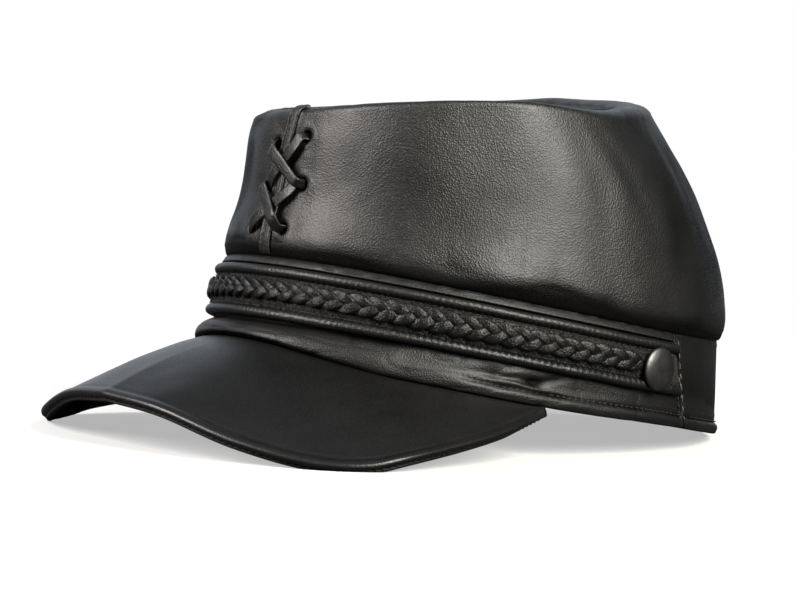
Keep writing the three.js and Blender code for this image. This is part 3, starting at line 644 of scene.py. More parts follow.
def snap_profile():
    """Radius and height of the snap over the band's face: flange, post and domed cap."""
    inner = -LEATHER - 2 * GAP
    seat = ROLL_HEIGHT + GAP
    post = [
        (0.0, inner - 1.0), (SNAP_FLANGE - 0.2, inner - 1.0), (SNAP_FLANGE, inner - 0.8),
        (SNAP_FLANGE, inner - 0.1), (SNAP_FLANGE - 0.2, inner), (SNAP_POST, inner),
        (SNAP_POST, seat),
    ]
    dome = [(share * SNAP_RADIUS, seat + height) for share, height in DOME_ROWS]
    return np.array(post + dome)


def snap_rows(angle, sides=72):
    """The snap's profile turned about the band's outward direction."""
    seat = band_point(angle, 0.0, SNAP_HEIGHT)
    out = unit(band_point(angle, 1.0, SNAP_HEIGHT) - seat)
    radius, height = snap_profile().T[:, :, None, None]
    return seat + height * out + radius * ring_round(out, full_turn(sides)[None, :, None])


def rest_place():
    """The shift that lays the tipped cap on its frame, read from the left snap's node."""
    low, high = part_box("snap_left")
    own = tipped(snap_rows(SNAP_ANGLE)).reshape(-1, 3)
    shift = 0.5 * (np.array(low) + np.array(high)) / MM - 0.5 * (own.min(0) + own.max(0))
    shift[0] = 0.0
    return shift


REST_SHIFT = rest_place()


def laid(points):
    """The cap's own millimetres to the frame's metres, with what rests pressed flat."""
    p = tipped(points) + REST_SHIFT
    p[..., 2] = np.maximum(p[..., 2], 0.0)
    return p * MM


# Meshes

def quads_of(rows, columns, closed_rows, closed_columns=True):
    """The four corners of each cell of a grid of points."""
    i = np.arange(rows if closed_rows else rows - 1)[:, None]
    j = np.arange(columns if closed_columns else columns - 1)[None, :]
    i2, j2 = (i + 1) % rows, (j + 1) % columns
    corners = (i * columns + j, i2 * columns + j, i2 * columns + j2, i * columns + j2)
    return np.stack(np.broadcast_arrays(*corners), -1).reshape(-1, 4)


def facing_out(points, quads, fans):
    """The faces, turned round if their volume comes out negative."""
    volume = 0.0
    for faces in (quads[:, [0, 1, 2]], quads[:, [0, 2, 3]], fans):
        a, b, c = (points[faces[:, k]] for k in range(3))
        volume += np.einsum("ij,ij->i", a, np.cross(b, c)).sum()
    if volume < 0:
        return quads[:, ::-1], fans[:, ::-1]
    return quads, fans


def skin(rows, closed=False):
    """A closed skin over rows of loops: it closes on itself, or a fan caps each end."""
    count, around = rows.shape[:2]
    points = rows.reshape(-1, 3)
    quads = quads_of(count, around, closed)
    fans = np.empty((0, 3), int)
    if not closed:
        points = np.concatenate([points, rows[:1].mean(1), rows[-1:].mean(1)])
        j = np.arange(around)
        k = (j + 1) % around
        last = (count - 1) * around
        first_fan = np.stack([np.full(around, count * around), j, k], -1)
        last_fan = np.stack([np.full(around, count * around + 1), last + k, last + j], -1)
        fans = np.concatenate([first_fan, last_fan])
    return points, *facing_out(points, quads, fans)


def joined(shapes):
    """Several shapes as one."""
    points, quads, fans, start = [], [], [], 0
    for p, q, f in shapes:
        points.append(p)
        quads.append(q + start)
        fans.append(f + start)
        start += len(p)
    return np.concatenate(points), np.concatenate(quads), np.concatenate(fans)


def many(rows):
    """A closed skin over each of many runs of loops, as one shape."""
    quads, fans = skin(rows[0])[1:]
    middles = np.stack([rows[:, 0].mean(1), rows[:, -1].mean(1)], 1)
    points = np.concatenate([rows.reshape(len(rows), -1, 3), middles], 1)
    shift = (np.arange(len(rows)) * points.shape[1])[:, None, None]
    return points.reshape(-1, 3), (quads + shift).reshape(-1, 4), (fans + shift).reshape(-1, 3)


def piece(name, shape, material, nodes=(), masks=None):
    """A mesh object in the frame, riding on the cap's body, standing for the CAD nodes named."""
    points, quads, fans = shape
    mesh = bpy.data.meshes.new(name)
    mesh.vertices.add(len(points))
    mesh.vertices.foreach_set("co", laid(points).astype(np.float32).ravel())
    corners = np.concatenate([quads.ravel(), fans.ravel()])
    sizes = np.concatenate([np.full(len(quads), 4), np.full(len(fans), 3)])
    mesh.loops.add(len(corners))
    mesh.loops.foreach_set("vertex_index", corners.astype(np.int32))
    mesh.polygons.add(len(sizes))
    starts = np.concatenate([[0], np.cumsum(sizes)[:-1]])
    mesh.polygons.foreach_set("loop_start", starts.astype(np.int32))
    mesh.update(calc_edges=True)
    mesh.polygons.foreach_set("use_smooth", np.ones(len(sizes), bool))
    for key, values in (masks or {}).items():
        full = np.zeros(len(points), np.float32)
        full[: values.size] = values.ravel()
        mesh.attributes.new(key, "FLOAT", "POINT").data.foreach_set("value", full)
    mesh.materials.append(material)
    obj = bpy.data.objects.new(name, mesh)
    bpy.context.scene.collection.objects.link(obj)
    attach(obj, "root")
    if nodes:
        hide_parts(*nodes)
    return obj


def stitch_shape(centres, along, up, length, width):
    """Stitches as small pods: an ellipse turned about the thread's run, one to each centre."""
    stations = np.array([(-1.0, 0.25), (-0.7, 0.8), (0.0, 1.0), (0.7, 0.8), (1.0, 0.25)])
    sides = full_turn(6)
    along = unit(along)
    across = unit(np.cross(along, up))
    lift = np.cross(across, along)
    ring = np.cos(sides)[:, None, None] * across + np.sin(sides)[:, None, None] * lift
    ring = np.moveaxis(ring, 0, 1)
    rows = (
        centres[:, None, None]
        + 0.5 * length * stations[:, 0][None, :, None, None] * along[:, None, None]
        + 0.5 * width * stations[:, 1][None, :, None, None] * ring[:, None]
        - (0.25 * width * stations[:, 0] ** 2)[None, :, None, None] * lift[:, None, None]
    )
    return many(rows)


def seam_places(surface, start, end, pitch, out):
    """Centres, directions and outward normals at an even pitch along a line of a surface;
    surface(t, out) gives its points."""
    t = np.linspace(start, end, 1500)
    line = surface(t, 0.0)
    length = run_of(line)
    count = int(length[-1] / pitch)
    at = np.interp((np.arange(count) + 0.5) * length[-1] / count, length, t)
    step = (end - start) * 1e-3
    along = surface(at + step, 0.0) - surface(at - step, 0.0)
    up = unit(surface(at, 1.0) - surface(at, 0.0))
    return surface(at, out), along, up


def tube_rows(line, across, up, profile):
    """A profile of (across, up) pairs carried along a line."""
    return (
        line[:, None] + profile[None, :, 0, None] * across[:, None]
        + profile[None, :, 1, None] * up[:, None]
    )


# Leather relief

def soft_creases(points, depth, size, seed, patch, tall=1.0):
    """Shallow creases, in mm, where a noise passes zero, in patches that a broad one picks."""
    creases = noise(points * (1, 1, tall), size, seed)
    return depth * bell(creases, 0.2) * smooth(noise(points, patch, seed + 1), -0.1, 0.5)


def wall_relief(angle, rise, points):
    """Fine shape of the crown's leather along its normals, in mm: narrow slanted folds, broad and small
    noise, gathers low round its foot, and rings and puckers round the lace holes."""
    total = np.zeros(angle.shape)
    for row_angle, wide, row_rise, tall, depth, lean in FOLD_ROWS:
        across = turn_to(angle, row_angle + lean * (rise - row_rise))
        total -= depth * np.exp(-((across / wide) ** 2) - ((rise - row_rise) / tall) ** 2)
    total += 0.34 * noise(points * (1, 1, 0.55), 17.0, 3) + 0.07 * noise(points, 6.5, 4)
    total -= soft_creases(points, 0.12, 11.0, 5, 40.0, 0.45)
    seam = np.abs(turn_to(angle, strip_angle(rise)))
    total *= smooth(seam, 1.5, 9.0)
    total -= 0.5 * bell(seam, 5.0) * smooth(seam, 1.2, 3.0)
    foot = smooth(rise, 0.22, 0.02)
    total += 0.22 * foot * np.cos(np.radians(angle) * 19 + 3 * noise(points, 30.0, 7))
    for hole_angle, hole_rise in HOLES.values():
        away = points - crown_point(hole_angle, hole_rise)
        far = np.linalg.norm(away, axis=-1)
        turn = np.arctan2(away[..., 2], away[..., 0])
        total += 0.3 * bell(far - 3.6, 1.1) - 1.0 * bell(far, 2.7)
        total += 0.14 * bell(far - 6.0, 3.0) * np.cos(3 * turn + hole_angle)
    return total


def strip_angle(rise):
    """The front seam's angle: it drifts to the wearer's left over the upper half."""
    return -90 + math.degrees(STRIP_DRIFT / BAND_SIDE) * smooth(rise, 0.5, 1)


def rim_gathers(angle, points):
    """Small gathers that the sewn seam of the top pulls into the leather, in mm."""
    waves = np.cos(np.radians(angle) * 37 + 2.4 * noise(points, 22.0, 8))
    return 0.26 * waves + 0.12 * noise(points, 5.0, 9)


def crown_wall_shape(columns=600):
    """The crown's wall as a closed skin: outer face with its relief from the rolled lower edge
    over the rim, the flange at the top's seam, the plain inner face, and the lip turned up
    behind the edge. Rows run round the cap, points round each section."""
    angle = np.linspace(-180, 180, columns, endpoint=False)[:, None]
    top_rise = 1 - RIM_ROUND / (rim_height(angle) - edge_height(angle))
    rise = np.linspace(0.02, 1, 74)[None, :] * top_rise
    share = np.linspace(0, 1, 13)[None, 1:]
    outer = np.concatenate([crown_point(angle, rise), rim_point(angle, share)], 1)
    rises = np.concatenate([rise, np.ones((columns, share.shape[1]))], 1)
    normals = grid_normals(outer, True)
    angles = np.broadcast_to(angle, rises.shape)
    relief = wall_relief(angles, rises, outer)
    over = np.concatenate([np.zeros(rise.shape[1]), share[0]])
    gathers = 0.4 * rim_gathers(angles, outer) * smooth(over, 0.75, 0.95)
    fade = smooth(over, 1.0, 0.55)
    relief = relief * fade * smooth(rises, 0.0, 0.06) + gathers
    relief -= 0.5 * bell(over - 1, 0.14)
    inner = outer + (np.minimum(relief + 0.8, 0)[..., None] - LEATHER) * normals
    face = outer + relief[..., None] * normals
    seam = outer[:, -1]
    drops = np.array([0.35, 0.7, 1.0]) * TOP_TURN_DOWN
    flange = seam[:, None] - drops[None, :, None] * (0, 0, 1)
    flange_in = inner[:, -1:] * (1, 1, 0) + flange[:, ::-1] * (0, 0, 1)
    flange_in = flange_in[:, :2]
    inner = inner[:, 9:-2:5][:, ::-1]
    edge = edge_height(angle)
    behind, above = np.array(LIP_ROWS), np.array(FOOT_HEIGHTS)
    lip_out = np.concatenate([behind[:, 0], CROWN_OUT - foot_tuck(above)])
    lips = band_point(angle, lip_out[None], edge + np.concatenate([behind[:, 1], above])[None])
    rows = np.concatenate([face, flange, flange_in, inner, lips], 1)
    points, quads, fans = skin(rows, True)
    above = rows[..., 2] - edge
    # Painted shade: the crown's leather is darker, with less shine, along its foot under the overhang
    # and in the relief's hollows, and a little lighter on its ridges.
    shaded = 1.1 * smooth(above + 4 * noise(rows, 30.0, 10), 8.0, 1.0)
    shaded[:, : relief.shape[1]] -= relief
    return (points, quads, fans), {"crease": shaded}


def lace_hole_cutters():
    """Six rods through the wall at the lace holes, as one mesh."""
    turn = full_turn(24)[:, None]
    rods = []
    for angle, rise in HOLES.values():
        place = crown_point(angle, rise)
        outwards = unit(crown_point(angle, rise, 1.0) - place)
        ring = 0.5 * HOLE_WIDTH * ring_round(outwards, turn)
        reach = np.array([-6.0, 6.0])[:, None, None]
        rods.append(skin(place + ring[None] + reach * outwards))
    return joined(rods)


def cut_holes(obj, shape):
    """Cuts a shape out of a finished piece for good."""
    mesh = bpy.data.meshes.new("lace_hole_rods")
    points, quads, fans = shape
    mesh.from_pydata(laid(points).tolist(), [], quads.tolist() + fans.tolist())
    rods = bpy.data.objects.new("lace_hole_rods", mesh)
    bpy.context.scene.collection.objects.link(rods)
    cut = obj.modifiers.new("lace_holes", "BOOLEAN")
    cut.operation, cut.object, cut.solver = "DIFFERENCE", rods, "EXACT"
    depsgraph = bpy.context.evaluated_depsgraph_get()
    pierced = bpy.data.meshes.new_from_object(obj.evaluated_get(depsgraph))
    obj.modifiers.clear()
    old, obj.data = obj.data, pierced
    bpy.data.meshes.remove(old)
    bpy.data.objects.remove(rods)
    bpy.data.meshes.remove(mesh)
    obj.data.name = obj.name
    obj.data.polygons.foreach_set("use_smooth", np.ones(len(obj.data.polygons), bool))


def top_panel_shape(columns=300):
    """The top panel: rings from the middle of its underside out, up the turned-down edge and
    over the top to its middle, with soft hollows and the seam's gathers."""
    angle = np.linspace(-180, 180, columns, endpoint=False)[None, :]
    start = SEAM_INSET + GAP
    reach = TOP_WIDTH - start
    under = start + reach * np.array([0.985, 0.8, 0.6, 0.4, 0.2, 0.05])[:, None]
    over = start + reach * np.linspace(0, 1, 44)[:, None] ** 1.25 * 0.975
    below = top_point(angle, under, top_height(angle, under) - LEATHER)
    edge = np.array(TURNED_ROWS)
    edge_inset = start + edge[:, :1] * LEATHER
    sides = top_point(angle, edge_inset, top_height(angle, edge_inset) - edge[:, 1:] * LEATHER)
    above = top_point(angle, over, top_height(angle, over))
    away = over - start
    relief = 0.9 * noise(above, 26.0, 11) + 0.3 * noise(above, 9.0, 12)
    relief -= soft_creases(above, 0.15, 14.0, 13, 34.0)
    relief = relief * smooth(away, 1.0, 12.0) * smooth(away, reach, reach - 14)
    relief += rim_gathers(angle + 0 * away, above) * bell(away - 2.0, 3.5) * smooth(away, 0, 1.2)
    relief -= 0.55 * bell(away, 0.8)
    above[..., 2] += relief
    rows = np.concatenate([below, sides, above])
    # Painted shade: the panel is darker, with less shine, in its hollows and the dip at its seam, and a
    # little lighter on its bumps.
    shaded = np.zeros(rows.shape[:2])
    shaded[-len(relief):] = -relief
    return skin(rows), {"crease": shaded}


def seam_strip_shape():
    """The strip over the front seam: a narrow ridge, a stitched groove and a flat strip,
    carried up the wall and over the rim, its foot and head rounded off."""
    section = rounded(STRIP_ROWS, 2, True)
    stations = np.linspace(0, 1, 190)
    split = 0.86
    wall = stations[stations < split] / split
    rise = wall * (1.04 - RIM_ROUND / (RIM_FRONT - CROWN_EDGE)) - 0.04
    share = (stations[stations >= split] - split) / (1 - split) * 0.72
    half = np.degrees(section[:, 0] / BAND_SIDE)
    on_wall = crown_point(strip_angle(rise)[:, None] + half, rise[:, None])
    over_rim = rim_point(strip_angle(1.0) + half[None], share[:, None])
    base = np.concatenate([on_wall, over_rim])
    turn = np.radians(81 * np.concatenate([np.zeros(len(rise)), share]))[:, None]
    up = together(0, -np.cos(turn), np.sin(turn))
    place = np.linspace(0, 1, len(base))
    ease = np.clip(np.minimum(place, 1 - place) / 0.012, 0, 1)
    lift = GAP + section[None, :, 1] * np.sqrt(1 - (1 - ease) ** 2)[:, None]
    wave = 0.08 * noise(base, 4.0, 21) * smooth(section[:, 1], 0.1, 0.5)[None]
    return skin(base + (lift + wave)[..., None] * up)


def strip_groove(t, out):
    """The line of the groove in the strip over the front seam."""
    rise = np.asarray(t) * (1 - RIM_ROUND / (RIM_FRONT - CROWN_EDGE))
    angle = strip_angle(rise) + math.degrees(STRIP_GROOVE / BAND_SIDE)
    return crown_point(angle, rise) - np.multiply.outer(out + 0 * rise, (0, 1.0, 0))


# Lacing

def thong_places(names, layer):
    """A thong's way out from its first hole and back into its last: rows of a place, a
    direction across and a width as a share."""
    ends = [HOLES[name] for name in names]
    step = layer * (THONG_THICKNESS + 3 * GAP)
    near = 2 * GAP + 0.5 * THONG_THICKNESS
    inside = -LEATHER - 2 * GAP - 0.5 * THONG_THICKNESS - step
    levels = {
        "tail": inside, "inside": inside, "wall": -0.5 * LEATHER, "near": near,
        "beside": near + 1.4 * step, "cross": near + 0.9 + GAP + step,
    }
    apart = math.degrees((THONG_APART if layer else -THONG_APART) / BAND_SIDE)

    def way(row, order):
        """Place, direction across and width of the thong at a row of its table."""
        start, share, level, drift, width, flat = row
        here, there = ends[order[start]], ends[order[start + 1]]
        first, second = ends[order[0]], ends[order[1]]
        forwards = np.sign(second[0] - first[0])
        run = crown_point(*second) - crown_point(*first)
        side = unit(np.cross(run, (0, -1.0, 0)))
        shared = apart if start and not share else 0
        shift = forwards * (math.degrees(drift / BAND_SIDE) + shared)
        tail = 0
        if level == "tail":
            tail = 6.0 / (RIM_FRONT - CROWN_EDGE) * (1 if order[0] else -1)
        angle = here[0] + (there[0] - here[0]) * share + shift
        rise = here[1] + (there[1] - here[1]) * share + tail
        direction = side * np.sign(side[2]) if flat else np.array((0, 0, 1.0))
        return (*crown_point(angle, rise, levels[level]), *direction, width)

    out = [way(row, (0, 1, 2)) for row in THONG_ROWS]
    back = [way(row, (3, 2, 1)) for row in THONG_ROWS[:-1]]
    return np.array(out + back[::-1])


def thong_shape(names, layer, wide):
    """A flat soft thong carried along its way; it narrows and folds where it passes a hole,
    and its section is a flat oval."""
    places = thong_places(names, layer)
    line = rounded(places[:, :3], 14)
    key = np.linspace(0, len(places) - 1, len(line))
    rest = np.stack([np.interp(key, np.arange(len(places)), places[:, k]) for k in range(3, 7)], -1)
    tangent = unit(np.gradient(line, axis=0))
    across = rest[:, :3] - (rest[:, :3] * tangent).sum(-1, keepdims=True) * tangent
    across = unit(across)
    up = np.cross(tangent, across)
    turn = full_turn(20)
    oval = flat_oval(turn, 0.55, 0.8)
    half = 0.5 * wide * rest[:, 3]
    fold = 1 + 0.9 * (1 - rest[:, 3])
    cup = 0.12 * np.cos(turn) ** 2
    tall = 0.5 * THONG_THICKNESS * (fold[:, None] * oval[None, :, 1] - cup)
    rows = (
        line[:, None] + (half[:, None] * oval[None, :, 0])[..., None] * across[:, None]
        + tall[..., None] * up[:, None]
    )
    rows += (0.1 * noise(rows, 3.4, 31 + layer))[..., None] * up[:, None]
    return skin(rows)


# Band

def band_relief(flat, z, low, nearest, facing):
    """Fine shape of the band's leather along its normals, in mm: what the strap presses in, folds beside
    the peak's root, the ledge, the hem, and its ends' lap; and a mask of painted shade, darker where the
    puff rolls under at its lower edge, behind and just below the strap, and in the relief's hollows."""
    under_strap = smooth(z, STRAP_BOTTOM + 1, STRAP_BOTTOM - 2.0)
    folds = 0.3 * sheet_noise(flat / 9.0, z / 5.0, 41)
    folds += 0.12 * sheet_noise(flat / 3.0, z / 3.0, 42)
    folds -= 0.2 * bell(sheet_noise(flat / 8.0, z / 4.0, 43), 0.14)
    ledge = smooth(z, STRAP_TOP + 0.4, STRAP_TOP + 1.4) * smooth(z, CROWN_EDGE, CROWN_EDGE - 1.0)
    ledge = 0.22 * sheet_noise(flat / 2.4, z / 2.0, 44) * ledge * facing
    for fold_angle, wide, fold_height, tall, lean, depth in HEM_FOLD_ROWS:
        for away in (turn_to(flat, fold_angle), turn_to(-180 - flat, fold_angle)):
            centre = fold_height + lean * away
            folds -= depth * bell(away, wide) * bell(z - centre, tall)
    above = z - low + SIDE_DIP * np.cos(np.radians(flat)) ** 2
    hemmed = 1 - front_share(flat, PUFF_SPAN + 8)
    pull = 0.8 - 0.2 * np.cos(2 * math.pi * flat / degrees_of(STITCH_PITCH))
    hem = 0.45 * bell(above - 2.2, 1.5) - 1.1 * pull * bell(above - HEM_GROOVE, 0.8)
    hem += 0.15 * bell(above - 6.4, 1.0)
    sewn = 0.7 + 0.3 * np.cos(2 * math.pi * z / STITCH_PITCH)
    lap = -0.5 * bell(nearest - SEAM_LAP, 0.5) * facing * sewn
    relief = folds * facing * under_strap + hem * facing * smooth(hemmed, 0.8, 0.97) + ledge
    inwards = 1 - np.clip(nearest / END_ROUND, 0, 1)
    relief = relief * smooth(nearest, 0, 3) - END_ROUND * (1 - np.sqrt(1 - inwards**2)) + lap
    # Painted shade: darker where the puff rolls under at its lower edge, behind and just below the
    # strap, and in the relief's hollows.
    rolled = smooth(above, 2.2, 0.4) * smooth(hemmed, 0.9, 0.4)
    tucked = smooth(z, STRAP_BOTTOM - 3.5, STRAP_BOTTOM - 1.0) * smooth(z, STRAP_TOP, STRAP_BOTTOM)
    return relief, (rolled + 0.6 * tucked - relief) * facing


def band_shape(start, end, columns, end_shift, face):
    """A run of the band: its section rounded from the table, its ends cut along the slanted
    side seams and rounded over, with the folds that the strap presses into its leather."""
    place = np.linspace(0, 1, columns)
    ends = 0.5 * np.array([0.0, 0.08, 0.22, 0.45, 0.8, 1.2, 1.8]) / BAND_FRONT
    place = np.unique(np.concatenate([place, ends, 1 - ends]))
    angle = (start + (end - start) * place)[:, None]
    puff = front_share(angle, PUFF_SPAN)
    low = lower_edge(angle)
    table = np.array(BAND_ROWS)
    out = table[:, 1] * HEM_FOLD * (1 - puff) - table[:, 0] * LEATHER
    out = out + table[:, 2] * (PUFF_REACH + 0.8) * puff
    height = low + (PUFF_TOP - low) * (table[:, 3] + (table[:, 4] - table[:, 3]) * puff)
    length = (place * (end - start))[:, None]
    nearest = np.radians(np.minimum(length, (end - start) - length)) * BAND_FRONT
    face = np.array(face)
    face_out = face[:, 0] * smooth(nearest, 2.5, 6.0)
    last = height[:, -1:] + (BAND_HEIGHT - height[:, -1:]) * np.array([0.12, 0.4, 0.7, 0.965, 1])
    out = np.concatenate([face_out, out, 0 * last - LEATHER], 1)
    height = np.concatenate([face[:, 1] + 0 * face_out, height, last], 1)
    slope = near_end(place)[:, None] * end_shift
    rows = band_point(angle + slope * seam_shift(height), out, height)
    rows = np.swapaxes(rounded(np.swapaxes(rows, 0, 1), 5, True), 0, 1)
    normals = grid_normals(rows, False)
    normals = normals * np.sign((normals[:, 2] * (rows[:, 2] * (1, 1, 0))).sum(-1))[:, None, None]
    flat = np.broadcast_to(angle, rows.shape[:2])
    z = rows[..., 2]
    facing = smooth((normals * unit(rows * (1, 1, 0))).sum(-1), -0.2, 0.5)
    relief, shaded = band_relief(flat, z, low, nearest, facing)
    return skin(rows + relief[..., None] * normals), {"crease": shaded}


# Strap and plait

def strap_end():
    """Angle of the strap's left end, a little short of the side seam."""
    return SEAM_ANGLE - degrees_of(STRAP_SHORT)


def round_front(place, end):
    """Angle at a place from 0 to 1 round the cap's front, from the right end to the left."""
    return -180 - end + (180 + 2 * end) * np.asarray(place)


def strap_shape(columns=760):
    """The strap: a suede middle between two rolled edges, the rolls drawn in by their stitches
    and puckered between; its ends are cut along the side seams' slant."""
    half = np.array(STRAP_ROWS)
    mirror = half[::-1] * (1, -1) + (0, STRAP_WIDTH)
    section = rounded(np.concatenate([half, mirror[1:-1]]), 3, True)
    place = np.linspace(0, 1, columns)
    angle = round_front(place, strap_end())[:, None]
    out, up = section[None, :, 0], section[None, :, 1]
    middle = np.abs(up - 0.5 * STRAP_WIDTH)
    top_side = (up > 0.5 * STRAP_WIDTH).astype(float)
    front = smooth(out, 0.6, 2.0)
    run = angle / degrees_of(1.0)
    pull = 0.5 + 0.5 * np.cos(2 * math.pi * run / STITCH_PITCH)
    on_roll = smooth(middle, 5.0, 6.6) * front
    scallop = sheet_noise(run / 6.5, 7 * top_side, 51)
    waves = sheet_noise(run / 16.0, 5 * top_side, 52)
    puckers = smooth(angle, -70, -10) * (1 - 0.6 * top_side)
    shape_out = out - on_roll * (0.1 * pull + (0.12 + 0.35 * puckers) * (0.5 - 0.5 * scallop))
    shape_out = shape_out - (0.2 + 0.3 * puckers) * pull * bell(middle - 5.5, 0.9) * front
    rough = sheet_noise(run, 1.3 * up, 53, 1.1)
    suede = smooth(middle, 5.5, 4.9) * front
    shape_out = shape_out + 0.1 * rough * suede
    toward = np.where(top_side > 0, -1.0, 1.0)
    scalloped = (0.15 + 0.3 * puckers) * (0.5 - pull) * bell(middle - 5.9, 1.0) * front
    shape_up = up + toward * on_roll * (0.15 + 0.25 * puckers) * (0.5 - 0.5 * waves)
    shape_up = shape_up + toward * scalloped
    shape_out = np.minimum(shape_out, ROLL_HEIGHT)
    height = STRAP_BOTTOM + shape_up
    slope = near_end(place)[:, None]
    rows = band_point(angle + slope * seam_shift(height), np.maximum(shape_out, GAP), height)
    # The crease mask is painted shade: darker, with less shine, where the rolls are drawn in by their
    # stitches and puckers.
    masks = {
        "suede": np.broadcast_to(suede, rows.shape[:2]),
        "crease": np.broadcast_to((out - shape_out) * on_roll, rows.shape[:2]),
    }
    return skin(rows), masks


def plait_end():
    """Angle of the plait's left end, beside the snap."""
    return SNAP_ANGLE - degrees_of(SNAP_RADIUS + PLAIT_FROM_SNAP)


def strand_shape(phase, wide):
    """One strand of a flat three-strand plait: sideways it swings as a sine of its way, and
    over and under at twice that rate; its section is a flat oval, turned with its way."""
    end = plait_end()
    angle = np.linspace(-180 - end, end, 900)
    fine = band_point(angle, 3.7, STRAP_MIDDLE)
    run = run_of(fine)
    turns = 2 * math.pi * run / PLAIT_PERIOD + phase
    close = np.clip(np.minimum(run, run[-1] - run) / 5.0, 0, 1)
    sway = (0.35 + 0.65 * smooth(close, 0, 1)) * PLAIT_SWAY
    loose = 1 + 0.2 * bell(angle + 42, 20) + 0.06 * sheet_noise(run / 9.0, phase, 63)
    middle = STRAP_MIDDLE + PLAIT_RISE * bell(angle + 80, 40)
    out = PLAIT_OUT - PLAIT_WEAVE * np.sin(2 * turns)
    line = band_point(angle, out, middle + loose * sway * np.sin(turns))
    outwards = unit(band_point(angle, 1.0, STRAP_MIDDLE) - band_point(angle, 0.0, STRAP_MIDDLE))
    tangent = unit(np.gradient(line, axis=0))
    across = unit(np.cross(outwards, tangent))
    lift = np.cross(tangent, across)
    turn = full_turn(14)
    oval = flat_oval(turn, 0.8, 0.9) * (0.5 * wide, 0.5 * STRAND_THICKNESS)
    rows = tube_rows(line, across, lift, oval)
    rows = line[:, None] + (rows - line[:, None]) * loose[:, None, None]
    end_share = np.sqrt(1 - (1 - np.clip(close * 5, 0.15, 1)) ** 2)[:, None, None]
    rows = line[:, None] + (rows - line[:, None]) * end_share
    creases = noise(together(run[:, None] / 4.0, 2.2 * np.sin(turn), phase), 1.0, 61)
    rows += (0.14 * creases + 0.05 * noise(rows, 1.2, 62))[..., None] * lift[:, None]
    return skin(rows)


def nap_fibres(seed, count):
    """Loose fibres of the strap's rough middle: tapered hairs with three sides, drawn at random
    along both margins of the plait, that bow out of the leather and lean to the rolls."""
    random = np.random.default_rng(seed)
    end = strap_end() - 2
    angle = random.uniform(-180 - end, end, (count, 1))
    side = random.choice((-1.0, 1.0), (count, 1))
    height = STRAP_MIDDLE + side * random.uniform(2.4, 5.0, (count, 1))
    length = random.uniform(0.6, 2.1, (count, 1))
    lean = random.uniform(-0.9, 0.9, (count, 1))
    way = np.linspace(0, 1, 5)[None]
    out = SUEDE_OUT + 0.8 * length * way * (1.3 - 0.7 * way)
    line = band_point(angle + degrees_of(1.0) * length * lean * way, out,
                      height + side * length * way * (0.7 - 0.3 * way))
    tangent = unit(np.gradient(line, axis=1))
    across = unit(np.cross(tangent, (0, 0, 1.0)))
    lift = np.cross(across, tangent)
    turn = np.radians([90.0, 210.0, 330.0])
    ring = np.cos(turn)[:, None] * across[:, :, None] + np.sin(turn)[:, None] * lift[:, :, None]
    return many(line[:, :, None] + (FIBRE_RADIUS * (1 - 0.8 * way))[..., None, None] * ring)


# Peak

def peak_rows(columns=300):
    """Places along the peak's edge, shares from its root to its edge, the reference surface
    there, its upward normals, and each point's distance in from the edge in mm."""
    length = peak_edge(0.0)[1]
    trim = 1 - PEAK_END_CUT / length
    along = np.linspace(-trim, trim, columns)[:, None]
    shares = np.concatenate([np.linspace(-1, -0.02, 7), 1 - np.linspace(1, 0, 62) ** 1.25])
    grid = peak_point(along, shares[None])
    normals = grid_normals(grid)
    normals = np.where(normals[..., 2:] < 0, -normals, normals)
    steps = np.linalg.norm(np.diff(grid, axis=1), axis=-1)
    inset = np.concatenate([np.cumsum(steps[:, ::-1], 1)[:, ::-1], np.zeros((columns, 1))], 1)
    return along, grid, normals, inset


def bead_loop(grid, normals, radius, drop, turns):
    """Points round the peak's edge from its top side to its underside."""
    edge, up = grid[:, -1:], normals[:, -1:]
    ahead = unit(edge - grid[:, -3:-2])
    turn = np.radians(turns)[None, :, None]
    return edge + up * (radius * np.cos(turn) - drop) + ahead * (EDGE_PROUD + radius * np.sin(turn))


def peak_taper(along):
    """How thick the peak's edge is, as a share: it thins where the edge runs into the band."""
    return (0.5 + 0.5 * smooth(np.abs(along), 1.0, 0.86))[..., None]


def peak_upper_shape():
    """The peak's top leather: a low camber with soft unevenness, a pressed groove inside a
    proud rolled edge, and a plain underside."""
    along, grid, normals, inset = peak_rows()
    relief = 0.5 * noise(grid, 34.0, 71) + 0.14 * noise(grid, 9.0, 72)
    relief = relief * smooth(inset, 2.0, 12.0) * smooth(inset[:, 7:8] - inset, 0.0, 10.0)
    thick = BEAD * peak_taper(along)
    relief = relief - 0.16 * bell(inset - 2.4, 0.8)
    relief = relief + (thick[..., 0] - 0.5 * UPPER) * bell(inset, 1.3)
    top = grid + (0.5 * UPPER + relief)[..., None] * normals
    under = (grid - 0.5 * UPPER * normals)[:, 3:-5:6][:, ::-1]
    bead = bead_loop(grid, normals, thick, 0.0, np.linspace(0, 180, 13)[1:])
    rows = np.concatenate([top, bead, under], 1)
    # Painted shade: darker, with less shine, in the hollows of the top's relief and its pressed groove,
    # and a little lighter on its bumps.
    shaded = np.zeros(rows.shape[:2])
    shaded[:, : relief.shape[1]] = -relief * smooth(inset, 1.8, 2.6)
    return skin(end_rounded(rows, 0.8)), {"crease": shaded}


def peak_lining_shape():
    """The peak's under leather, close below the upper, its edge rounded over."""
    along, grid, normals, inset = peak_rows(240)
    depth = 0.5 * UPPER + 1.5 * GAP
    taper = peak_taper(along)
    edge_depth = BEAD * taper + GAP
    down = depth + (edge_depth[..., 0] - depth) * smooth(inset, 14.0, 1.5)
    below = LINING * (1 + (taper[..., 0] - 1) * smooth(inset, 14.0, 1.5))
    ripples = 0.35 * noise(grid, 16.0, 81) * smooth(inset, 3.0, 10.0)
    top = (grid - down[..., None] * normals)[:, :-2:4]
    depths = down + below + np.maximum(ripples, -0.2)
    low = (grid - depths[..., None] * normals)[:, :-2:2][:, ::-1]
    turns = np.linspace(0, 180, 9)
    radius = 0.5 * LINING * taper
    bead = bead_loop(grid, normals, radius, edge_depth + radius, turns)
    return skin(end_rounded(np.concatenate([top, bead, low], 1), 0.7))


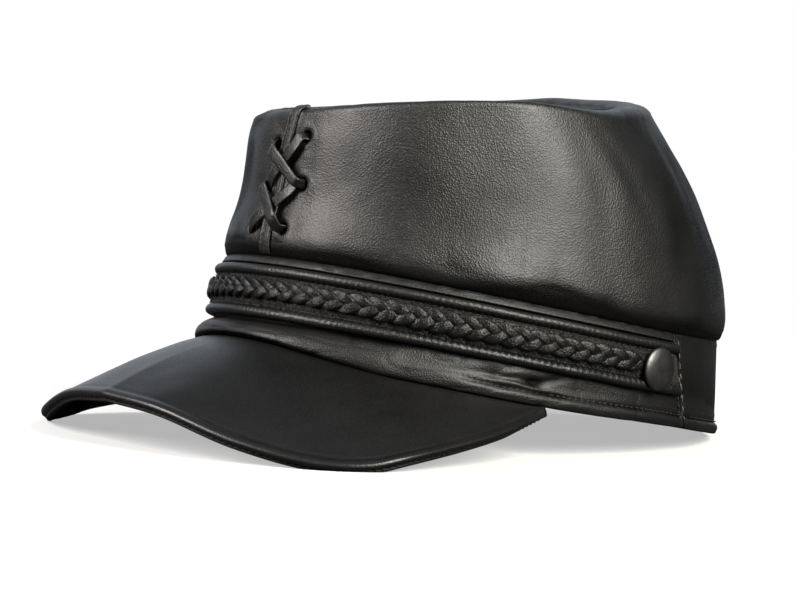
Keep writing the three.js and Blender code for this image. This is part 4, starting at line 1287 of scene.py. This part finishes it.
def end_rounded(rows, reach):
    """The first and last rows of a run drawn in a little towards their middles as a quarter
    round."""
    run = np.linalg.norm(np.diff(rows, axis=0), axis=-1).mean(1)
    run = np.concatenate([[0], np.cumsum(run)])
    near = np.clip(np.minimum(run, run[-1] - run) / reach, 0, 1)
    shrink = 1 - PEAK_END_DRAW * (1 - np.sqrt(1 - (1 - near) ** 2))
    middle = rows.mean(1, keepdims=True)
    return middle + (rows - middle) * shrink[:, None, None]


# Stitches

def strap_stitch_line(up):
    """The line of a strap's stitched groove at a height over its bottom."""
    height = STRAP_BOTTOM + up

    def surface(t, out):
        bend = near_end(t) * seam_shift(height)
        return band_point(round_front(t, strap_end()) + bend, GROOVE_OUT + out, height)
    return surface


def hem_line(start, end):
    """The hem's stitched line, a little over the band's lower edge."""
    def surface(t, out):
        angle = start + (end - start) * np.asarray(t)
        puff = front_share(angle, PUFF_SPAN)
        face = HEM_FOLD * (1 - puff) + PUFF_REACH * 0.99 * puff
        return band_point(angle, face + out, lower_edge(angle) + HEM_GROOVE)
    return surface


def ledge_line(t, out):
    """The line of stitches that holds the band down over the strap's top."""
    face, above = LEDGE_STITCHES
    return band_point(round_front(t, strap_end() - 2), face + out, STRAP_TOP + above)


def side_seam_line(left, beside):
    """The line of stitches beside a side seam, from the hem up to the crown."""
    def surface(t, out):
        height = 1.2 + (CROWN_EDGE - 2.6) * np.asarray(t)
        angle = SEAM_ANGLE + seam_shift(height) + degrees_of(beside)
        angle = angle if left else -180 - angle
        share = smooth(height, 6.0, 1.0)
        return band_point(angle, HEM_FOLD * share + out, height)
    return surface


def peak_groove(t, out):
    """The line of the groove between the peak's rolled edge and its lining, seen from ahead."""
    along = (2 * np.asarray(t) - 1) * (1 - PEAK_END_CUT / peak_edge(0.0)[1])
    edge, near = peak_point(along, 1.0), peak_point(along, 0.9)
    ahead = unit(edge - near)
    run = peak_point(along + 1e-3, 1.0) - peak_point(along - 1e-3, 1.0)
    up = unit(np.cross(run, ahead))
    up = np.where(up[..., 2:] < 0, -up, up)
    out_by, down = PEAK_STITCHES
    return edge + ahead * (EDGE_PROUD + out_by + out) - up * (BEAD + down)


def strap_end_threads(seed):
    """Short loose threads at the strap's cut ends: thin tubes that curl away from the leather."""
    random = np.random.default_rng(seed)
    tubes = []
    ring = THREAD_RADIUS * flat_oval(full_turn(6), 1, 1)
    for foot_angle, foot_height, spread, count in THREAD_ENDS:
        for _ in range(count):
            start = foot_angle + random.normal(0, 0.25)
            height = foot_height + spread * random.uniform(-0.5, 0.5)
            way = np.linspace(0, 1, 14)
            length = random.uniform(1.2, 2.6)
            curl = random.uniform(-1, 1)
            angle = start + degrees_of(length) * way * curl
            out = 1.0 + 0.9 * length * way * (1 - 0.5 * way)
            line = band_point(angle, out, height - 0.7 * length * way**1.6)
            tangent = unit(np.gradient(line, axis=0))
            across = unit(np.cross(tangent, (0.3, 0.2, 1.0)))
            tubes.append(skin(tube_rows(line, across, np.cross(tangent, across), ring)))
    return joined(tubes)


# Nodes

def feed(tree, node, sockets):
    """Fills a node's sockets: a value is a number, a colour or another node's output."""
    for key, value in dict(sockets).items():
        if isinstance(value, bpy.types.NodeSocket):
            tree.links.new(value, node.inputs[key])
        else:
            node.inputs[key].default_value = value


def add_node(tree, kind, sockets=(), **settings):
    """A node with its settings, and its sockets filled."""
    made = tree.nodes.new(kind)
    for key, value in settings.items():
        setattr(made, key, value)
    feed(tree, made, sockets)
    return made


def arithmetic(tree, operation, first, second):
    """A number worked out from two."""
    return add_node(tree, "ShaderNodeMath", {0: first, 1: second}, operation=operation).outputs[0]


def plus(tree, first, second):
    """The sum of two numbers."""
    return arithmetic(tree, "ADD", first, second)


def times(tree, first, second):
    """The product of two numbers."""
    return arithmetic(tree, "MULTIPLY", first, second)


def mixed(tree, share, first, second):
    """Two colours mixed by a share."""
    sockets = {"Factor": share, 6: first, 7: second}
    return add_node(tree, "ShaderNodeMix", sockets, data_type="RGBA").outputs[2]


def scaled(tree, colour, share):
    """A colour made lighter or darker by a share."""
    sockets = {0: colour, "Scale": share}
    return add_node(tree, "ShaderNodeVectorMath", sockets, operation="SCALE").outputs[0]


def spread(tree, value, low, high, first=0.0, last=1.0):
    """A value's range from low to high stretched over another, and held there."""
    sockets = {"Value": value, "From Min": low, "From Max": high, "To Min": first, "To Max": last}
    return add_node(tree, "ShaderNodeMapRange", sockets).outputs["Result"]


def own_place(tree):
    """Places on the piece, in its own metres."""
    return add_node(tree, "ShaderNodeTexCoord").outputs["Object"]


def painted(tree, name):
    """A mask that the piece carries under a name."""
    return add_node(tree, "ShaderNodeAttribute", attribute_name=name).outputs["Fac"]


def cloudy(tree, place, scale, detail=2.0, rough=0.5, bend=0.0):
    """Noise over places: a value, Fac, and a colour, Color."""
    return add_node(tree, "ShaderNodeTexNoise", {
        "Vector": place, "Scale": scale, "Detail": detail, "Roughness": rough, "Distortion": bend,
    }).outputs


def raised(tree, height, distance, strength=1.0, **ground):
    """Normals bent by a height over a distance in metres, on the surface's own or on others."""
    sockets = {"Strength": strength, "Distance": distance, "Height": height, **ground}
    return add_node(tree, "ShaderNodeBump", sockets).outputs["Normal"]


def new_group(name, inputs, outputs):
    """An empty node group with its sockets; it gives the tree, what comes in and the node that
    takes what goes out."""
    tree = bpy.data.node_groups.new(name, "ShaderNodeTree")
    for label, kind, value in inputs:
        socket = tree.interface.new_socket(label, in_out="INPUT", socket_type="NodeSocket" + kind)
        socket.default_value = value
    for label, kind in outputs:
        tree.interface.new_socket(label, in_out="OUTPUT", socket_type="NodeSocket" + kind)
    return tree, add_node(tree, "NodeGroupInput").outputs, add_node(tree, "NodeGroupOutput")


def leather_grain_group():
    """Pebbled leather: small cells with darker valleys, pores, fine creases and broad patches;
    it gives a colour, a roughness and a height."""
    tree, given, result = new_group(
        "leather_grain",
        [("Tint", "Color", (0.02, 0.02, 0.02, 1)), ("Grain size mm", "Float", 0.9),
         ("Roughness", "Float", 0.45), ("Unevenness", "Float", 0.1), ("Crease", "Float", 0.0)],
        [("Colour", "Color"), ("Roughness", "Float"), ("Height", "Float")],
    )
    place = own_place(tree)
    finer = arithmetic(tree, "DIVIDE", 1000.0, given["Grain size mm"])
    cells = add_node(tree, "ShaderNodeTexVoronoi", {
        "Vector": place, "Scale": finer, "Smoothness": 0.55, "Randomness": 0.95,
    }, feature="SMOOTH_F1").outputs["Distance"]
    pores = cloudy(tree, place, times(tree, finer, 1.6), 3.0)["Fac"]
    patches = cloudy(tree, place, 38.0, 4.0, 0.6)["Fac"]
    bent = add_node(tree, "ShaderNodeVectorMath", {
        0: cloudy(tree, place, 90.0, bend=0.6)["Color"], 1: (0.006, 0.006, 0.006), 2: place,
    }, operation="MULTIPLY_ADD").outputs[0]
    lines = add_node(tree, "ShaderNodeTexVoronoi", {
        "Vector": bent, "Scale": 190.0,
    }, feature="DISTANCE_TO_EDGE").outputs["Distance"]
    crease = times(tree, spread(tree, lines, 0.0, 0.09, 1.0, 0.0), spread(tree, patches, 0.42, 0.62))
    pebble = spread(tree, cells, 0.12, 0.62, 1.0, 0.0)
    height = plus(tree, times(tree, pebble, 0.6), times(tree, pores, 0.4))
    height = arithmetic(tree, "SUBTRACT", height, times(tree, crease, 0.15))
    # Painted shade: the leather's colour is darker where the shade mask is high.
    shade_depth = spread(tree, given["Crease"], -0.4, 0.6)
    lightness = plus(tree, spread(tree, patches, 0.3, 0.7, 0.78, 1.18),
                     spread(tree, pebble, 0.0, 1.0, -0.22, 0.1))
    lightness = arithmetic(tree, "SUBTRACT", lightness, times(tree, shade_depth, 0.25))
    uneven = arithmetic(tree, "SUBTRACT", plus(tree, patches, pores), 1.0)
    rough = plus(tree, given["Roughness"], times(tree, given["Unevenness"], uneven))
    rough = plus(tree, rough, spread(tree, pebble, 0.0, 1.0, 0.09, -0.03))
    feed(tree, result, {
        "Colour": scaled(tree, given["Tint"], lightness), "Roughness": rough, "Height": height,
    })
    return tree


def suede_nap_group():
    """Rough flesh side of leather: tangled short fibres as stretched noise; it gives a colour
    and a height."""
    tree, given, result = new_group(
        "suede_nap",
        [("Tint", "Color", (0.04, 0.04, 0.04, 1)), ("Fibre mm", "Float", 0.5)],
        [("Colour", "Color"), ("Height", "Float")],
    )
    place = own_place(tree)
    finer = arithmetic(tree, "DIVIDE", 1000.0, given["Fibre mm"])
    tangle = cloudy(tree, place, finer, 4.0, 0.7, 1.2)["Fac"]
    tufts = cloudy(tree, place, times(tree, finer, 0.3))["Fac"]
    both = plus(tree, times(tree, tangle, 0.6), times(tree, tufts, 0.4))
    lightness = spread(tree, both, 0.38, 0.62, 0.35, 1.9)
    feed(tree, result, {"Colour": scaled(tree, given["Tint"], lightness), "Height": both})
    return tree


# Materials

def blank_material(name):
    """A new material, its node tree and its shader."""
    material = bpy.data.materials.new(name)
    material.use_nodes = True
    tree = material.node_tree
    return material, tree, tree.nodes["Principled BSDF"]


def dyed(colour, share=1.0):
    """A share of a colour, opaque."""
    return (*(share * c for c in colour), 1.0)


def leather_material(name, group, look, tint=1.0, rough=0.0, depth=1.0, coat=1.0, shine=1.0):
    """Dyed, finished leather: the grain's colour, roughness and height, a thin coat, and painted shade
    where the crease mask is high: darker colour, less shine and no coat in its folds, hollows and tucks."""
    material, tree, shader = blank_material(name)
    # Painted shade mask: it darkens the grain's colour and takes shine and coat away in folds, hollows
    # and tucks.
    folds = painted(tree, "crease")
    grain = add_node(tree, "ShaderNodeGroup", {
        "Tint": dyed(look.colour, tint), "Grain size mm": look.grain_size / MM,
        "Roughness": look.roughness + rough, "Unevenness": 0.16, "Crease": folds,
    }, node_tree=group).outputs
    bright = look.shine * shine
    feed(tree, shader, {
        "Base Color": grain["Colour"], "Roughness": grain["Roughness"],
        "Normal": raised(tree, grain["Height"], look.grain_depth * depth),
        "Specular IOR Level": spread(tree, folds, 0.15, 1.0, bright, 0.1 * bright),
        "Coat Weight": spread(tree, folds, 0.15, 1.0, 0.12 * coat, 0.0), "Coat Roughness": 0.3,
    })
    return material


def strap_material(grain_group, nap_group, look):
    """The strap's two finishes: smooth leather on its rolls, suede between them."""
    material = leather_material("strap_roll_leather", grain_group, look, rough=-0.03)
    tree = material.node_tree
    shader = tree.nodes["Principled BSDF"]
    mask = painted(tree, "suede")
    nap = add_node(tree, "ShaderNodeGroup", {
        "Tint": dyed(look.colour, 1.9), "Fibre mm": 0.6,
    }, node_tree=nap_group).outputs
    colour, rough, normal = (
        shader.inputs[key].links[0].from_socket for key in ("Base Color", "Roughness", "Normal")
    )
    feed(tree, shader, {
        "Base Color": mixed(tree, mask, colour, nap["Colour"]),
        "Roughness": plus(tree, rough, times(tree, mask, 0.42)),
        "Normal": raised(tree, nap["Height"], 0.0008, mask, Normal=normal),
    })
    return material


def thread_material(look, name, colour):
    """Waxed thread: a twist of fine slanted ribs on a satin ground."""
    material, tree, shader = blank_material(name)
    ribs = add_node(tree, "ShaderNodeTexWave", {
        "Vector": own_place(tree), "Scale": 700.0, "Distortion": 1.5, "Detail": 1.0,
    }).outputs["Fac"]
    feed(tree, shader, {
        "Base Color": mixed(tree, ribs, dyed(colour, 0.6), dyed(colour, 1.3)),
        "Roughness": look.roughness, "Normal": raised(tree, ribs, 0.0001, 0.6),
    })
    return material


def snap_material(look):
    """Blackened metal: satin, with fine scratches, and worn a little brighter in patches."""
    material, tree, shader = blank_material("blackened_snap_metal")
    place = own_place(tree)
    stretched = add_node(tree, "ShaderNodeMapping", {"Vector": place, "Scale": (1.0, 9.0, 1.0)})
    scratches = cloudy(tree, stretched.outputs["Vector"], 900.0, 4.0)["Fac"]
    worn = spread(tree, cloudy(tree, place, 260.0, 3.0)["Fac"], 0.4, 0.7)
    feed(tree, shader, {
        "Base Color": mixed(tree, worn, dyed(look.colour), dyed(look.colour, 1.6)),
        "Roughness": plus(tree, spread(tree, scratches, 0.3, 0.7, -0.05, 0.07), look.roughness),
        "Normal": raised(tree, scratches, 0.00006, 0.4), "Metallic": 1.0,
    })
    return material


def finish(name):
    """A material by its name, made with its node groups at the first call."""
    if name not in bpy.data.materials:
        scene = bpy.context.scene
        cap, thread = scene.cap_leather, scene.cap_thread
        grain, nap = leather_grain_group(), suede_nap_group()
        leather_material("crown_leather", grain, cap)
        leather_material("panel_leather", grain, cap, tint=0.9, rough=0.1, coat=0.0, shine=0.35)
        leather_material("band_leather", grain, cap, tint=0.8, rough=0.05, shine=0.75)
        leather_material("cut_thong_leather", grain, cap, tint=0.6, rough=-0.04, depth=0.8)
        leather_material("nap_fibre_leather", grain, cap, tint=5.0, rough=0.1, coat=0.0)
        # Painted shade: the plait is the crown's dye at a darker tint, for the shade its strands sit in.
        leather_material("plait_leather", grain, cap, tint=0.6, rough=-0.08, coat=0.0, shine=0.6)
        # Painted shade: the peak's top is the crown's dye at a darker tint, for the dimmer light it gets
        # facing up.
        leather_material("peak_top_leather", grain, cap, tint=0.4, rough=-0.07, depth=0.4)
        leather_material("peak_under_leather", grain, cap, tint=0.45, rough=0.15, coat=0.0)
        strap_material(grain, nap, cap)
        thread_material(thread, "seam_thread", thread.colour)
        thread_material(thread, "pale_thread", thread.pale_colour)
        snap_material(scene.cap_snaps)
    return bpy.data.materials[name]


# Sizes and colours that a user would change

def colour_choice(name, description, default):
    """A colour to choose."""
    return FloatVectorProperty(
        name=name, description=description, default=default, min=0, max=1, subtype="COLOR")


def share_choice(name, description, default):
    """A share from 0 to 1 to choose."""
    return FloatProperty(
        name=name, description=description, default=default, min=0, max=1, subtype="FACTOR")


def length_choice(name, description, millimetres):
    """A small length to choose."""
    return FloatProperty(
        name=name, description=description, default=millimetres * MM, unit="LENGTH", precision=5)


def power_choice(name, description, default):
    """A light's power to choose."""
    return FloatProperty(name=name, description=description, default=default, min=0, unit="POWER")


class CapLeather(PropertyGroup):
    colour: colour_choice("Leather colour", "Dye of the leather", (0.0045, 0.0043, 0.0042))
    roughness: share_choice("Roughness", "How dull the finish is", 0.42)
    shine: share_choice("Shine", "Strength of the leather's reflection", 0.5)
    grain_size: length_choice("Grain size", "Width of a grain cell", 0.66)
    grain_depth: length_choice("Grain depth", "Height of the grain", 0.17)


class CapThread(PropertyGroup):
    colour: colour_choice("Thread colour", "Dye of the seams' thread", (0.012, 0.012, 0.012))
    pale_colour: colour_choice("Side thread colour", "Dye of the side seams' thread", (0.11, 0.108, 0.1))
    roughness: share_choice("Roughness", "How dull the thread is", 0.55)
    pitch: length_choice("Pitch", "Distance from stitch to stitch", STITCH_PITCH)
    width: length_choice("Width", "Thickness of the thread", 0.5)
    fibres: IntProperty(
        name="Fibres", description="Loose fibres along the plait", default=4200, min=1, max=7000)
    seed: IntProperty(
        name="Seed", description="Start of the random draw of threads and fibres", default=91)


class CapSnaps(PropertyGroup):
    colour: colour_choice("Metal colour", "Tone of the snaps", (0.085, 0.084, 0.084))
    roughness: share_choice("Roughness", "How satin the metal is", 0.42)


class CapLacing(PropertyGroup):
    thong_width: length_choice("Thong width", "Width of the lacing's thong where it lies flat", 4.5)
    strand_width: length_choice("Strand width", "Width of a strand of the strap's plait", 3.5)


class CapStudio(PropertyGroup):
    floor_size: FloatProperty(
        name="Floor", description="Radius of the floor", default=6.0, unit="LENGTH")
    left_light: power_choice("Left light", "Power of the light left of the camera", 38.0)
    right_light: power_choice("Right light", "Power of the light right of the camera", 53.0)
    top_light: power_choice("Top light", "Power of the light over the cap", 2.0)
    back_light: power_choice("Back light", "Power of the card behind the cap", 9.0)
    surround: FloatProperty(
        name="Surround", description="Brightness of the room around the cap", default=0.06, min=0)


# Operators

class BuildCrown(Operator):
    """Build the crown's wall, its top panel and the strip over its front seam"""
    bl_idname = "cap.crown"
    bl_label = "Crown"

    def execute(self, context):
        leather = finish("crown_leather")
        shape, masks = crown_wall_shape()
        wall = piece("crown_wall", shape, leather, ["crown_side"], masks)
        cut_holes(wall, lace_hole_cutters())
        shape, masks = top_panel_shape()
        dull = finish("panel_leather")
        piece("crown_panel", shape, dull, ["crown_top"], masks)
        piece("seam_strip", seam_strip_shape(), leather, ["front_seam_strip"])
        return {"FINISHED"}


class BuildLacing(Operator):
    """Build the two thongs that lace the crown's front"""
    bl_idname = "cap.lacing"
    bl_label = "Lacing"

    def execute(self, context):
        wide = context.scene.cap_lacing.thong_width / MM
        leather = finish("cut_thong_leather")
        for way, (layer, holes) in LACES.items():
            shape = thong_shape(holes, layer, wide)
            piece(f"thong_{way}", shape, leather, [f"lace_{way}"])
        return {"FINISHED"}


class BuildBand(Operator):
    """Build the band's front with its puffed fold, and its back between the side seams"""
    bl_idname = "cap.band"
    bl_label = "Band"

    def execute(self, context):
        leather = finish("band_leather")
        clear = SEAM_ANGLE + degrees_of(SEAM_CLEAR)
        shape, masks = band_shape(-180 - SEAM_ANGLE, SEAM_ANGLE, 440, 1, LEDGE_ROWS)
        piece("puffed_band", shape, leather, ["band_front"], masks)
        shape, masks = band_shape(clear, 180 - clear, 220, -1, PLAIN_ROWS)
        piece("nape_band", shape, leather, ["band_back"], masks)
        return {"FINISHED"}


class BuildStrap(Operator):
    """Build the strap with its rolled edges and suede middle"""
    bl_idname = "cap.strap"
    bl_label = "Strap"

    def execute(self, context):
        shape, masks = strap_shape()
        rolled = finish("strap_roll_leather")
        piece("rolled_strap", shape, rolled, ["strap"], masks)
        look = context.scene.cap_thread
        fibres = nap_fibres(look.seed, look.fibres)
        piece("nap_fibres", fibres, finish("nap_fibre_leather"))
        return {"FINISHED"}


class BuildPlait(Operator):
    """Build the three strands of the strap's plait as one braid"""
    bl_idname = "cap.plait"
    bl_label = "Plait"

    def execute(self, context):
        wide = context.scene.cap_lacing.strand_width / MM
        strands = [strand_shape(2 * math.pi * k / 3, wide) for k in range(3)]
        piece("plait", joined(strands), finish("plait_leather"), ["braid"])
        return {"FINISHED"}


class BuildPeak(Operator):
    """Build the peak's top leather with its rolled edge, and its lining"""
    bl_idname = "cap.peak"
    bl_label = "Peak"

    def execute(self, context):
        shape, masks = peak_upper_shape()
        piece("peak_top", shape, finish("peak_top_leather"), ["peak_upper"], masks)
        piece("peak_under", peak_lining_shape(), finish("peak_under_leather"),
              ["peak_lining"])
        return {"FINISHED"}


class BuildSnaps(Operator):
    """Build the two round snaps at the strap's ends"""
    bl_idname = "cap.snaps"
    bl_label = "Snaps"

    def execute(self, context):
        metal = finish("blackened_snap_metal")
        for side, angle in (("left", SNAP_ANGLE), ("right", -180 - SNAP_ANGLE)):
            piece(f"{side}_snap", skin(snap_rows(angle)), metal, [f"snap_{side}"])
        return {"FINISHED"}


class BuildStitching(Operator):
    """Sew the strap's edges, the hem, the side seams, the seam strip and the peak's edge"""
    bl_idname = "cap.stitching"
    bl_label = "Stitching"

    def execute(self, context):
        look = context.scene.cap_thread
        pitch, width = look.pitch / MM, look.width / MM
        length = STITCH_SHARE * pitch
        dark, pale = finish("seam_thread"), finish("pale_thread")

        def row(surface, start=0.004, end=0.996, scale=1.0, out=0.0):
            """One row of stitches, at the thread's own pitch times a scale."""
            places = seam_places(surface, start, end, scale * pitch, out)
            return stitch_shape(*places, scale * length, width)

        def sides(beside, scale=1.0):
            """A row beside each side seam."""
            return joined([row(side_seam_line(left, beside), scale=scale) for left in (True, False)])

        grooves = [row(strap_stitch_line(up)) for up in (STRAP_GROOVE, STRAP_WIDTH - STRAP_GROOVE)]
        piece("strap_stitches", joined(grooves), dark)
        hem_end = SEAM_ANGLE + SEAM_SLANT - degrees_of(HEM_FROM_SEAM)
        hems = [(HEM_START, hem_end), (-180 - hem_end, -180 - HEM_START),
                (SEAM_ANGLE + BACK_HEM, 180 - BACK_HEM - SEAM_ANGLE)]
        sewn = [row(hem_line(*ends), out=-0.5) for ends in hems]
        piece("hem_stitches", joined(sewn), dark)
        piece("ledge_stitches", row(ledge_line), dark)
        piece("side_seam_stitches", sides(-SEAM_LAP), dark)
        piece("seam_edge_stitches", sides(SEAM_EDGE, EDGE_SCALE), pale)
        strip = row(strip_groove, 0.02, 0.99, out=0.6)
        piece("strip_stitches", strip, dark)
        piece("peak_stitches", row(peak_groove, out=-0.1), dark)
        piece("loose_threads", strap_end_threads(look.seed), pale)
        return {"FINISHED"}


def area_light(name, azimuth, elevation, size, power, colour):
    """A soft light aimed at the cap from a direction: azimuth 0 is the front, 90 its left."""
    around, rise = math.radians(azimuth), math.radians(elevation)
    level = LIGHT_DISTANCE * math.cos(rise)
    place = (level * math.sin(around), -level * math.cos(around), LIGHT_DISTANCE * math.sin(rise))
    light = bpy.data.lights.new(name, "AREA")
    light.shape, light.size, light.size_y, light.energy = "RECTANGLE", *size, power
    light.color = colour
    obj = bpy.data.objects.new(name, light)
    obj.location = place
    obj.visible_camera = False
    obj.rotation_euler = (Vector(LIGHT_AIM) - Vector(place)).to_track_quat("-Z", "Y").to_euler()
    bpy.context.scene.collection.objects.link(obj)


def pale_floor(size):
    """A round floor, its rings closer near the middle."""
    rings, sides = 12, 64
    turn = full_turn(sides)
    radius = size * np.linspace(0.01, 1, rings)[:, None] ** 2
    rows = together(radius * np.cos(turn), radius * np.sin(turn), 0)
    faces = quads_of(rings, sides, False)[:, ::-1].tolist() + [list(range(sides))]
    mesh = bpy.data.meshes.new("floor")
    mesh.from_pydata(rows.reshape(-1, 3).tolist(), [], faces)
    material, tree, shader = blank_material("pale_floor")
    place = own_place(tree)
    mottle = cloudy(tree, place, 3.0)["Fac"]
    tone = mixed(tree, mottle, (0.88, 0.88, 0.88, 1), (0.92, 0.92, 0.92, 1))
    seen = add_node(tree, "ShaderNodeLightPath").outputs["Is Camera Ray"]
    feed(tree, shader, {
        "Base Color": mixed(tree, seen, (0.05, 0.05, 0.05, 1), tone), "Roughness": 0.9,
        "Specular IOR Level": 0.1,
    })
    away = add_node(tree, "ShaderNodeVectorMath", {0: place}, operation="LENGTH").outputs["Value"]
    fade = times(tree, spread(tree, away, 0.12, 0.6, 0.45), seen)
    white = add_node(tree, "ShaderNodeEmission", {"Color": (1, 1, 1, 1)}).outputs[0]
    faded = add_node(tree, "ShaderNodeMixShader", {0: fade, 1: shader.outputs[0], 2: white})
    feed(tree, tree.nodes["Material Output"], {"Surface": faded.outputs[0]})
    mesh.materials.append(material)
    floor = bpy.data.objects.new("floor", mesh)
    bpy.context.scene.collection.objects.link(floor)


def studio_world(surround):
    """A white room to the camera, dimmer for what the leather reflects."""
    world = bpy.data.worlds.new("studio")
    world.use_nodes = True
    tree = world.node_tree
    seen = add_node(tree, "ShaderNodeLightPath").outputs["Is Camera Ray"]
    feed(tree, tree.nodes["Background"], {
        "Strength": spread(tree, seen, 0.0, 1.0, surround, 1.0),
        "Color": mixed(tree, seen, (0.86, 0.92, 1.0, 1), (1, 1, 1, 1)),
    })
    bpy.context.scene.world = world


def stand_camera():
    """The camera at the photo's angle, its place and axes given in the cap's own frame."""
    data = bpy.data.cameras.new("camera")
    data.lens, data.sensor_width, data.sensor_fit = CAMERA_LENS, 36.0, "HORIZONTAL"
    data.clip_start, data.clip_end = 0.05, 50.0
    camera = bpy.data.objects.new("camera", data)
    ahead, up = unit(tipped(np.array(CAMERA_AHEAD))), unit(tipped(np.array(CAMERA_UP)))
    right = unit(np.cross(ahead, up))
    place = (tipped(np.array(CAMERA_PLACE)) + REST_SHIFT) * MM
    turned = np.stack([right, np.cross(right, ahead), -ahead, place], -1)
    camera.matrix_world = Matrix([*turned.tolist(), (0, 0, 0, 1)])
    bpy.context.scene.collection.objects.link(camera)
    bpy.context.scene.camera = camera


class SetStudio(Operator):
    """Set the pale floor, the soft lights and the camera"""
    bl_idname = "cap.studio"
    bl_label = "Studio"

    def execute(self, context):
        look = context.scene.cap_studio
        pale_floor(look.floor_size)
        studio_world(look.surround)
        for name, (azimuth, elevation, size, power, tint) in LIGHTS.items():
            area_light(name, azimuth, elevation, size, getattr(look, power), tint)
        stand_camera()
        context.scene.view_settings.view_transform = "Standard"
        return {"FINISHED"}


STEPS = (
    BuildCrown, BuildLacing, BuildBand, BuildStrap, BuildPlait, BuildPeak, BuildSnaps,
    BuildStitching, SetStudio,
)
LOOKS = {
    "cap_leather": CapLeather, "cap_thread": CapThread, "cap_snaps": CapSnaps,
    "cap_lacing": CapLacing, "cap_studio": CapStudio,
}


class CapPanel(Panel):
    """Lists the cap's sizes, colours and building steps"""
    bl_idname = "VIEW3D_PT_leather_cap"
    bl_label = "Leather cap"
    bl_space_type = "VIEW_3D"
    bl_region_type = "UI"
    bl_category = "Cap"

    def draw(self, context):
        for name, look in LOOKS.items():
            box = self.layout.box()
            for prop in look.__annotations__:
                box.prop(getattr(context.scene, name), prop)
        for step in STEPS:
            self.layout.operator(step.bl_idname)


def register():
    """Register the cap's properties, operators and panel."""
    for made in (*LOOKS.values(), *STEPS, CapPanel):
        bpy.utils.register_class(made)
    for name, look in LOOKS.items():
        setattr(bpy.types.Scene, name, PointerProperty(type=look))


def unregister():
    """Take them out again."""
    for name in LOOKS:
        delattr(bpy.types.Scene, name)
    for made in (CapPanel, *STEPS[::-1], *LOOKS.values()):
        bpy.utils.unregister_class(made)


def main():
    """Build the cap step by step."""
    register()
    for step in STEPS:
        group, name = step.bl_idname.split(".")
        getattr(getattr(bpy.ops, group), name)()


if __name__ == "__main__":
    main()
